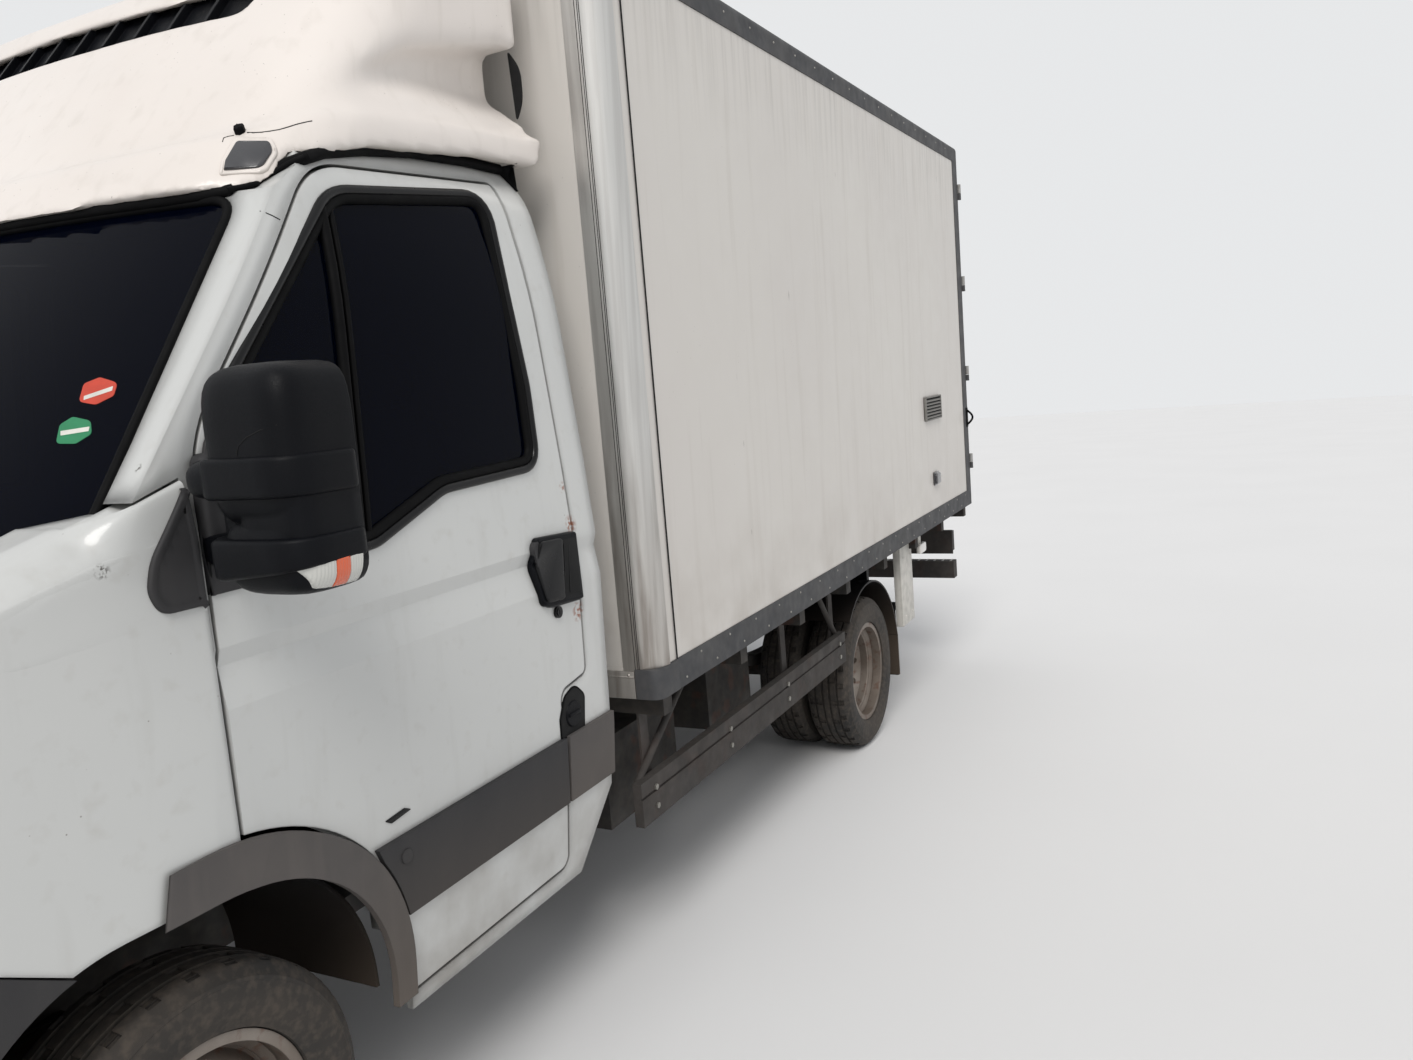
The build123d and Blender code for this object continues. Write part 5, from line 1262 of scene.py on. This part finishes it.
# Fuel filler and the cab's small fittings
FILLER = [(561.5, 739.5, 1.5), (560, 720, 9), (564, 697, 14), (574, 684.5, 10), (583.5, 694, 7),
          (583.8, 728, 2)]
FILLER_SPOT = (572.5, 713)
WIPER_ARM_RUN = 0.06
LABELS = {
    "upper_label": (RED_LABEL, [(79, 402, 4), (84, 384, 6), (100, 377.5, 6), (118, 383, 5), (114, 396, 6),
                                (96, 405, 8)],
                    [(84.5, 396.5, 0.4), (113.5, 386.5, 0.4), (112.5, 391, 0.4), (84, 400.5, 0.4)]),
    "lower_label": (GREEN_LABEL, [(56, 444, 4), (60, 425, 6), (73, 417, 6), (91, 421, 5), (92, 434, 6),
                                  (76, 444, 8)],
                    [(61, 431.5, 0.4), (90, 427, 0.4), (89, 431.5, 0.4), (61, 436, 0.4)]),
}


def filler_rim():
    """The lip round the filler's pocket."""
    return traced_line(filleted(FILLER, 5), 0.0032, "cab_sides", "door_left", closed=True)


def filler_cap():
    """The cap in the pocket, with its grip."""
    spot = under_pixel(*FILLER_SPOT, "cab_sides", "door_left")
    bm = rod(spot, spot + Vector((0, 0.006, 0)), 0.034, 32, tip=0.031)
    return slab(spot + Vector((-0.024, 0.005, -0.005)), spot + Vector((0.024, 0.010, 0.005)), 0.002, 2, bm)


# A dark plate that paints the shade in the filler's recessed pocket
pair("filler_pocket", lambda: traced(FILLER, 0.0025, "cab_sides", "door_left", soft=0.001), SEAM_BLACK_AND_PAINTED_SHADE,
     "black_moulding")
pair("filler_rim", filler_rim, RUBBER, "black_moulding")
pair("filler_cap", filler_cap, LOOKS["black_moulding"], "black_moulding")


def wiper(pivot_y, reach):
    """A wiper parked along the windscreen's foot."""
    start = pivot_y - WIPER_ARM_RUN
    blade = [on_screen(start - reach * step / 8, 1.535 + 0.012 * step / 8, 0.012) for step in range(9)]
    arm = [on_screen(pivot_y, 1.500, 0.022), on_screen(start, 1.512, 0.022),
           on_screen(start - reach * 0.5, 1.545, 0.022)]
    hub = on_screen(pivot_y, 1.500, 0.010)
    return gathered(strand(blade, 0.005), strand(arm, 0.006), rod(hub, hub + Vector((0.02, 0, 0.02)), 0.014))


def wipers():
    """Both wipers."""
    return gathered(wiper(0.55, 0.62), wiper(-0.14, 0.58))


def scuttle_seal():
    """The black rubber between the windscreen's foot and the bonnet."""
    return strand([on_screen(-0.70 + step * 0.05, 1.499, 0.012) for step in range(29)], 0.008)


finish("wipers", wipers(), RUBBER, "dark_moulding")
finish("scuttle_seal", scuttle_seal(), RUBBER, "dark_moulding")
for name, (colour, disc, bar) in LABELS.items():
    finish(name, traced(disc, 0.0008, "windscreen"), colour, "cab_glass")
    finish(f"{name}_bar", traced(bar, 0.0012, "windscreen"), PLATE, "cab_glass")

# Box fittings
RAIL_LOW_Z = BOX_LOW + RAIL_HEIGHT / 2
RAIL_TOP_Z = BOX_HIGH - RAIL_HEIGHT / 2
CAP_HEIGHT = 0.084
FLUTES = (0.9835, 0.9915, 0.9965)
FLUTE_RADIUS, SEAM_RADIUS = 0.0007, 0.0022
FLANGE_HALF = 0.979
VENT_LOW, VENT_SPAN = Vector((-4.572, BOX_SIDE, 1.392)), Vector((0.304, 0, 0.120))
VENT_FRAME = ((0, 0, 1, 0.06), (0, 0.94, 1, 1), (0, 0, 0.03, 1), (0.97, 0, 1, 1))
SLAT_SIZE, SLAT_PITCH, SLAT_TURN = (0.288, 0.011, 0.0035), 0.0165, -42
STRUTS = (((-1.392, 0.952, 0.590), (-1.700, 0.952, 0.792)), ((-3.070, 0.952, 0.590), (-2.900, 0.952, 0.792)))


def post_cap():
    """The dark casting round the corner post's foot."""
    face, side = BOX_FRONT + 0.003, BOX_SIDE + 0.003
    outline = filleted([(face, 0.981, 0.001), (face, side, 0.072), (BOX_FRONT - 0.113, side, 0.002),
                        (BOX_FRONT - 0.113, 1.02, 0.001), (BOX_FRONT - 0.03, 0.981, 0.001)], 10)
    return plate(outline, CAP_HEIGHT, lambda u, v, d: Vector((u, v, 0.8465 + d)), soft=0.002)


def post_grooves():
    """The fine flutes down the post's front flange and the seam behind it."""
    lines = [strand([(BOX_FRONT + 0.0004, y, z) for z in (0.93, 2.77)], FLUTE_RADIUS, sides=1)
             for y in FLUTES]
    seam = [(BOX_FRONT - 0.1115, BOX_SIDE + 0.0002, z) for z in (0.934, 2.768)]
    return gathered(*lines, strand(seam, SEAM_RADIUS, sides=1))


def front_rail():
    """The angle along the foot of the front wall, with its rivets."""
    bm = slab((BOX_FRONT - 0.001, -FLANGE_HALF, 0.8475), (BOX_FRONT + 0.0035, FLANGE_HALF, 0.924), 0.0012)
    slab((BOX_FRONT + 0.003, -FLANGE_HALF, 0.906), (BOX_FRONT + 0.0055, FLANGE_HALF, 0.910), 0.0008, bm=bm)
    for step in range(14):
        y = -0.962 + step * 0.148
        rod((BOX_FRONT + 0.003, y, 0.914), (BOX_FRONT + 0.0062, y, 0.914), 0.0042, 10, bm, 0.002)
    return bm


def rail_rivets():
    """Rivets along the upper and lower rails."""
    bm = bmesh.new()
    for z, first in ((RAIL_LOW_Z - 0.022, -1.56), (RAIL_LOW_Z + 0.026, -1.66), (RAIL_TOP_Z, -1.56)):
        for step in range(18):
            x = first - step * 0.2
            spot = land((x, 1.4, z), (0, -1, 0), "box_rails", "box_sides")[0]
            rod(spot - Vector((0, 0.001, 0)), spot + Vector((0, 0.0024, 0)), 0.0048, 8, bm, 0.0024)
    return bm


def side_vent():
    """The plate and raised frame of a louvred vent on the box's side."""
    bm = slab(VENT_LOW, VENT_LOW + VENT_SPAN + Vector((0, 0.004, 0)), 0.001)
    for left, foot, right, head in VENT_FRAME:
        slab(VENT_LOW + Vector((VENT_SPAN.x * left, 0, VENT_SPAN.z * foot)),
             VENT_LOW + Vector((VENT_SPAN.x * right, 0.012, VENT_SPAN.z * head)), 0.002, 2, bm)
    return bm


def vent_slats():
    """The vent's tilted slats."""
    bm = bmesh.new()
    for step in range(6):
        made = bmesh.ops.create_cube(bm, size=1)["verts"]
        bmesh.ops.scale(bm, vec=SLAT_SIZE, verts=made)
        bmesh.ops.rotate(bm, cent=(0, 0, 0), matrix=Matrix.Rotation(radians(SLAT_TURN), 3, "X"), verts=made)
        bmesh.ops.translate(bm, vec=(-4.42, BOX_SIDE + 0.0075, 1.408 + step * SLAT_PITCH), verts=made)
    return bm


def vent_painted_shade():
    """A dark plate behind the slats: painted shade in the vent's opening."""
    return slab((-4.563, BOX_SIDE + 0.003, 1.400), (-4.277, BOX_SIDE + 0.0045, 1.504))


def side_marker():
    """A smoked marker lamp in its holder."""
    bm = slab((-4.478, BOX_SIDE, 1.055), (-4.382, BOX_SIDE + 0.006, 1.122), 0.003)
    return gathered(bm, pillow((-4.472, BOX_SIDE, 1.061), (-4.388, BOX_SIDE + 0.018, 1.116), 6.0))


def door_catch():
    """The black hook at the box's rear edge that holds an open door."""
    bm = slab((-5.200, BOX_SIDE, 1.295), (-5.165, BOX_SIDE + 0.005, 1.405), 0.002)
    hoop = [(-5.183, BOX_SIDE + 0.004 + 0.030 * sin(pi * t / 8), 1.31 + 0.08 * t / 8) for t in range(9)]
    return gathered(bm, strand(hoop, 0.006))


def side_board():
    """The pale board behind the rear wheel with its folded edges, and the strap that its lamp hangs on."""
    bm = slab((-4.105, 0.984, 0.425), (-3.905, 0.997, 0.812), 0.004)
    for x in (-4.105, -3.918):
        slab((x, 0.960, 0.425), (x + 0.013, 0.990, 0.812), 0.002, 2, bm)
    slab((-4.285, 0.992, 0.770), (-4.235, 0.997, 0.850), 0.001, 2, bm)
    for x in (-4.07, -3.95):
        for z in (0.47, 0.76):
            rod((x, 0.996, z), (x, 1.0005, z), 0.008, 12, bm, 0.005)
    return bm


def board_lamp():
    """The clear lamp beside the board."""
    return pillow((-4.320, 0.992, 0.728), (-4.200, 1.018, 0.778), 5.0)


def wheel_flap():
    """The ribbed rubber flap behind the rear wheel."""
    bm = slab((-3.853, 0.555, 0.200), (-3.846, 0.975, 0.560), 0.002)
    for step in range(17):
        y = 0.572 + step * 0.0242
        slab((-3.858, y, 0.215), (-3.852, y + 0.008, 0.50), 0.002, 1, bm)
    return slab((-3.862, 0.555, 0.520), (-3.852, 0.975, 0.560), 0.002, 2, bm)


def guard_struts():
    """Flat stays from the side guard up to the bearers."""
    return gathered(*[rod(foot, head, 0.011) for foot, head in STRUTS])


def guard_bolts():
    """The bolt heads on the side guard's brackets."""
    bm = bmesh.new()
    for x in (-1.45, -1.95, -2.45, -3.02):
        for z in (0.520, 0.575):
            found = land((x, 1.3, z), (0, -1, 0), "side_guards")
            if found:
                rod(found[0] - Vector((0, 0.002, 0)), found[0] + Vector((0, 0.005, 0)), 0.009, 6, bm)
    return bm


pair("post_cap", post_cap, LOOKS["rail_grey"], "rail_grey")
pair("post_grooves", post_grooves, SEAM_BLACK_AND_PAINTED_SHADE, "rail_grey")
finish("front_rail", front_rail(), LOOKS["post_aluminium"], "post_aluminium")
pair("rail_rivets", rail_rivets, ZINC, "lock_gear")
pair("side_vent", side_vent, GREY_PLASTIC, "dark_moulding")
pair("vent_slats", vent_slats, GREY_PLASTIC, "dark_moulding")
pair("vent_painted_shade", vent_painted_shade, SEAM_BLACK_AND_PAINTED_SHADE, "dark_moulding")
pair("side_marker", side_marker, SMOKED_LENS, "lamp_lens")
pair("door_catch", door_catch, RUBBER, "dark_moulding")
pair("side_board", side_board, WHITE_PLASTIC, "box_panel")
pair("board_lamp", board_lamp, WHITE_LENS, "lamp_lens")
pair("wheel_flap", wheel_flap, RUBBER, "dark_moulding")
pair("guard_struts", guard_struts, LOOKS["guard_paint"], "guard_paint")
pair("guard_bolts", guard_bolts, ZINC, "lock_gear")

# Rear end
DOOR_LOW, DOOR_HIGH = 0.973, 2.768
LAMP_FACE = -5.1975
LAMP_PARTS = ((0.600, 0.672, WHITE_LENS), (0.676, 0.806, RED_LENS), (0.810, 0.936, AMBER_REAR))


def rear_seal():
    """The rubber round the edge of a rear door."""
    outline = filleted([(0.010, DOOR_LOW + 0.004, 0.02), (0.010, DOOR_HIGH - 0.004, 0.02),
                        (0.934, DOOR_HIGH - 0.004, 0.02), (0.934, DOOR_LOW + 0.004, 0.02)])
    found = []
    for u, v in outline:
        hit = land((-6.0, u, v), (1, 0, 0), "rear_door_left")
        found.append(hit[0] if hit else Vector((BOX_REAR, u, v)))
    return strand(found, 0.006, closed=True)


def lamp_part(low, high):
    """One field of the tail lamp's lens, between two distances from the middle."""
    return lambda: slab((LAMP_FACE - 0.004, low, 0.584), (LAMP_FACE + 0.004, high, 0.681), 0.003)


def reflector():
    """A round reflector on the rear frame's sill."""
    return rod((-5.206, 0.72, 0.912), (-5.2125, 0.72, 0.912), 0.030, 32)


def top_marker():
    """Marker lamp at the top of the rear frame."""
    return slab((-5.212, 0.985, 2.800), (-5.204, 1.035, 2.822), 0.002)


def rear_plate():
    """The blank plate on the rear bumper."""
    return slab((-5.1745, -0.26, 0.4150), (-5.1715, 0.26, 0.5250), 0.001)


def step_tread():
    """Raised bars on the rear bumper's top."""
    bm = bmesh.new()
    for step in range(40):
        y = -0.94 + step * 0.048
        slab((-5.165, y, 0.5195), (-5.105, y + 0.012, 0.5225), 0.001, 1, bm)
    return bm


pair("rear_seal", rear_seal, RUBBER, "dark_moulding", "rear_door")
for index, (low, high, look) in enumerate(LAMP_PARTS):
    pair(f"tail_lens_{index + 1}", lamp_part(low, high), look, "red_lens")
pair("reflector", reflector, RED_LENS, "red_lens")
pair("top_marker", top_marker, RED_LENS, "red_lens")
finish("rear_plate", rear_plate(), PLATE, "box_panel")
finish("step_tread", step_tread(), LOOKS["lock_gear"], "lock_gear")


# Front end
HEADLAMP_BOWLS = ((0.600, 1.045, 0.062), (0.735, 1.060, 0.050))
BOWL_BACK = 0.05
TURN_LAMP = (0.840, 1.070)
FOG_LAMP = (0.66, 0.605)


def front_spot(y, z, *names):
    """The point straight ahead of (y, z) where the named solids' front is."""
    return land((3.0, y, z), (-1, 0, 0), *names)[0]


def lamp_bowls():
    """Two reflector bowls behind the headlamp's lens."""
    bm = bmesh.new()
    for y, z, radius in HEADLAMP_BOWLS:
        face = front_spot(y, z, "headlamps").x - BOWL_BACK
        profile = [(face - 0.05 + 0.05 * (k / 6) ** 2, y, z + radius * k / 6) for k in range(7)]
        spun(profile, 32, centre=(0, y, z), axis=(1, 0, 0), bm=bm)
        ring((face, y, z), (1, 0, 0), radius, 0.004, 32, 6, bm)
        bulb = bmesh.ops.create_uvsphere(bm, u_segments=16, v_segments=10, radius=0.014)["verts"]
        bmesh.ops.translate(bm, vec=(face - 0.025, y, z), verts=bulb)
    return bm


def turn_bulb():
    """The amber bulb in the headlamp's outer corner."""
    y, z = TURN_LAMP
    face = front_spot(y, z, "headlamps").x - 0.045
    return pillow((face - 0.03, y - 0.035, z - 0.035), (face, y + 0.035, z + 0.035), 3.0)


def fog_rim():
    """The ring of a round fog lamp let into the bumper."""
    return ring(front_spot(*FOG_LAMP, "bumper"), (1, 0, 0), 0.055, 0.006, 40)


def fog_lens():
    """The fog lamp's clear lens."""
    spot = front_spot(*FOG_LAMP, "bumper")
    return rod(spot - Vector((0.01, 0, 0)), spot + Vector((0.003, 0, 0)), 0.052, 40)


def front_plate():
    """The blank plate on the front bumper."""
    spot = front_spot(0.0, 0.760, "bumper")
    return slab(spot + Vector((-0.001, -0.26, -0.052)), spot + Vector((0.003, 0.26, 0.052)), 0.001)


pair("lamp_bowls", lamp_bowls, CHROME, "lamp_lens")
pair("turn_bulb", turn_bulb, AMBER, "lamp_lens")
pair("fog_rim", fog_rim, LOOKS["black_moulding"], "black_moulding")
pair("fog_lens", fog_lens, CLEAR, "lamp_lens")
finish("front_plate", front_plate(), PLATE, "box_panel")

# Seats as (right side, left side, the middles of the headrests)
SEATS = {"driver": (0.182, 0.698, (0.44,)), "bench": (-0.738, 0.078, (-0.53, -0.13))}
SEAT_LEAN = 0.238
BACK_FOOT = 1.062
CHANNEL_DEPTH, CHANNEL_HALF = 0.007, 0.03
CUSHION_CHANNELS, BACK_CHANNELS = (-0.82, -0.62), (1.25, 1.45)


def channel(place, lines):
    """How deep the sewn channels pull the cloth in at a place across them."""
    return CHANNEL_DEPTH * sum(max(0.0, 1 - abs(place - line) / CHANNEL_HALF) for line in lines)


def seat_base(low, high):
    """The box that a seat stands on."""
    return slab((-0.928, low + 0.02, 0.7755), (-0.472, high - 0.02, 0.960), 0.012, 3)


def seat_cushion(low, high):
    """A crowned cushion with two sewn channels."""
    bm = pillow((-0.998, low, 0.958), (-0.442, high, 1.100), 3.6, 15)
    for vert in bm.verts:
        if vert.co.z > 1.03:
            vert.co.z -= channel(vert.co.x, CUSHION_CHANNELS)
    return bm


def seat_back(low, high):
    """The squab, leaning back, with bolsters and sewn channels."""
    bm = pillow((-1.006, low, BACK_FOOT), (-0.862, high, 1.690), 3.8, 15)
    for vert in bm.verts:
        if vert.co.x > -0.93:
            vert.co.x -= channel(vert.co.z, BACK_CHANNELS)
        vert.co.x -= SEAT_LEAN * (vert.co.z - BACK_FOOT)
    return bm


def headrest(y):
    """A headrest about the line at y."""
    return pillow((-1.165, y - 0.115, 1.700), (-1.060, y + 0.115, 1.835), 3.2)


def headrest_rods(y):
    """The two rods that a headrest slides on."""
    return gathered(*[rod((-1.100, y + side * 0.05, 1.66), (-1.112, y + side * 0.05, 1.76), 0.006)
                      for side in (-1, 1)])


def upholstered(name, bm):
    """One cloth-covered piece of the seats."""
    return finish(name, bm, LOOKS["seat_cloth"], "seat_cloth", stands_for=["seats"], angle=70)


for name, (low, high, heads) in SEATS.items():
    padded = [upholstered(f"seat_cushion_{name}", seat_cushion(low, high)),
              upholstered(f"seat_back_{name}", seat_back(low, high))]
    finish(f"seat_base_{name}", seat_base(low, high), LOOKS["dark_moulding"], "dark_moulding",
           stands_for=["seats"])
    for index, y in enumerate(heads, 1):
        padded.append(upholstered(f"headrest_{name}_{index}", headrest(y)))
        finish(f"headrest_rods_{name}_{index}", headrest_rods(y), ZINC, "lock_gear")


# Camera, studio and light
def camera_rig():
    """The photograph's camera."""
    data = bpy.data.cameras.new("camera")
    data.sensor_fit = "HORIZONTAL"
    data.sensor_width = 36.0
    data.lens = CAMERA_LENS
    data.clip_start, data.clip_end = 0.05, 300.0
    seen = bpy.data.objects.new("camera", data)
    bpy.context.scene.collection.objects.link(seen)
    right, up, back = Vector(CAMERA_RIGHT), -Vector(CAMERA_DOWN), -Vector(CAMERA_AHEAD)
    turn = Matrix((right, up, back)).transposed().to_4x4()
    seen.matrix_world = TILT @ Matrix.Translation(CAMERA_PLACE) @ turn
    bpy.context.scene.camera = seen


def studio_floor():
    """A wide pale disc under the wheels."""
    bm = bmesh.new()
    bmesh.ops.create_circle(bm, cap_ends=True, segments=64, radius=70)
    mesh = bpy.data.meshes.new("floor")
    bm.to_mesh(mesh)
    bm.free()
    f = Finish("pale_floor", (226, 226, 226), 0.9)
    f.tint(f.noise(0.6, 0.3, 0.8), (220, 220, 220), 0.5)
    mesh.materials.append(f.done())
    ground = bpy.data.objects.new("floor", mesh)
    bpy.context.scene.collection.objects.link(ground)


def studio_sky():
    """An even pale sky: one strength lights the truck, another shows to the camera, gloss and glass."""
    world = bpy.data.worlds.new("sky")
    bpy.context.scene.world = world
    world.use_nodes = True
    tree = world.node_tree
    lit = tree.nodes["Background"]
    shown = tree.nodes.new("ShaderNodeBackground")
    for node, colour, strength in ((lit, (0.96, 0.975, 1.0, 1), 0.62), (shown, (0.80, 0.81, 0.82, 1), 1.0)):
        node.inputs["Color"].default_value = colour
        node.inputs["Strength"].default_value = strength
    path = tree.nodes.new("ShaderNodeLightPath")
    seen = path.outputs["Is Camera Ray"]
    for ray in ("Is Glossy Ray", "Is Transmission Ray"):
        either = tree.nodes.new("ShaderNodeMath")
        either.operation = "MAXIMUM"
        tree.links.new(seen, either.inputs[0])
        tree.links.new(path.outputs[ray], either.inputs[1])
        seen = either.outputs[0]
    mix = tree.nodes.new("ShaderNodeMixShader")
    for place, source in enumerate((seen, lit.outputs[0], shown.outputs[0])):
        tree.links.new(source, mix.inputs[place])
    tree.links.new(mix.outputs[0], tree.nodes["World Output"].inputs["Surface"])


def studio_light():
    """One broad soft light from ahead and to the left."""
    sun = bpy.data.lights.new("broad_light", "SUN")
    sun.energy = 1.9
    sun.angle = radians(28)
    sun.color = (1.0, 0.975, 0.945)
    lamp = bpy.data.objects.new("broad_light", sun)
    lamp.matrix_world = Vector((-1.0, -0.45, -1.15)).to_track_quat("-Z", "Y").to_matrix().to_4x4()
    bpy.context.scene.collection.objects.link(lamp)


camera_rig()
studio_floor()
studio_sky()
studio_light()
bpy.context.scene.view_settings.view_transform = "Standard"
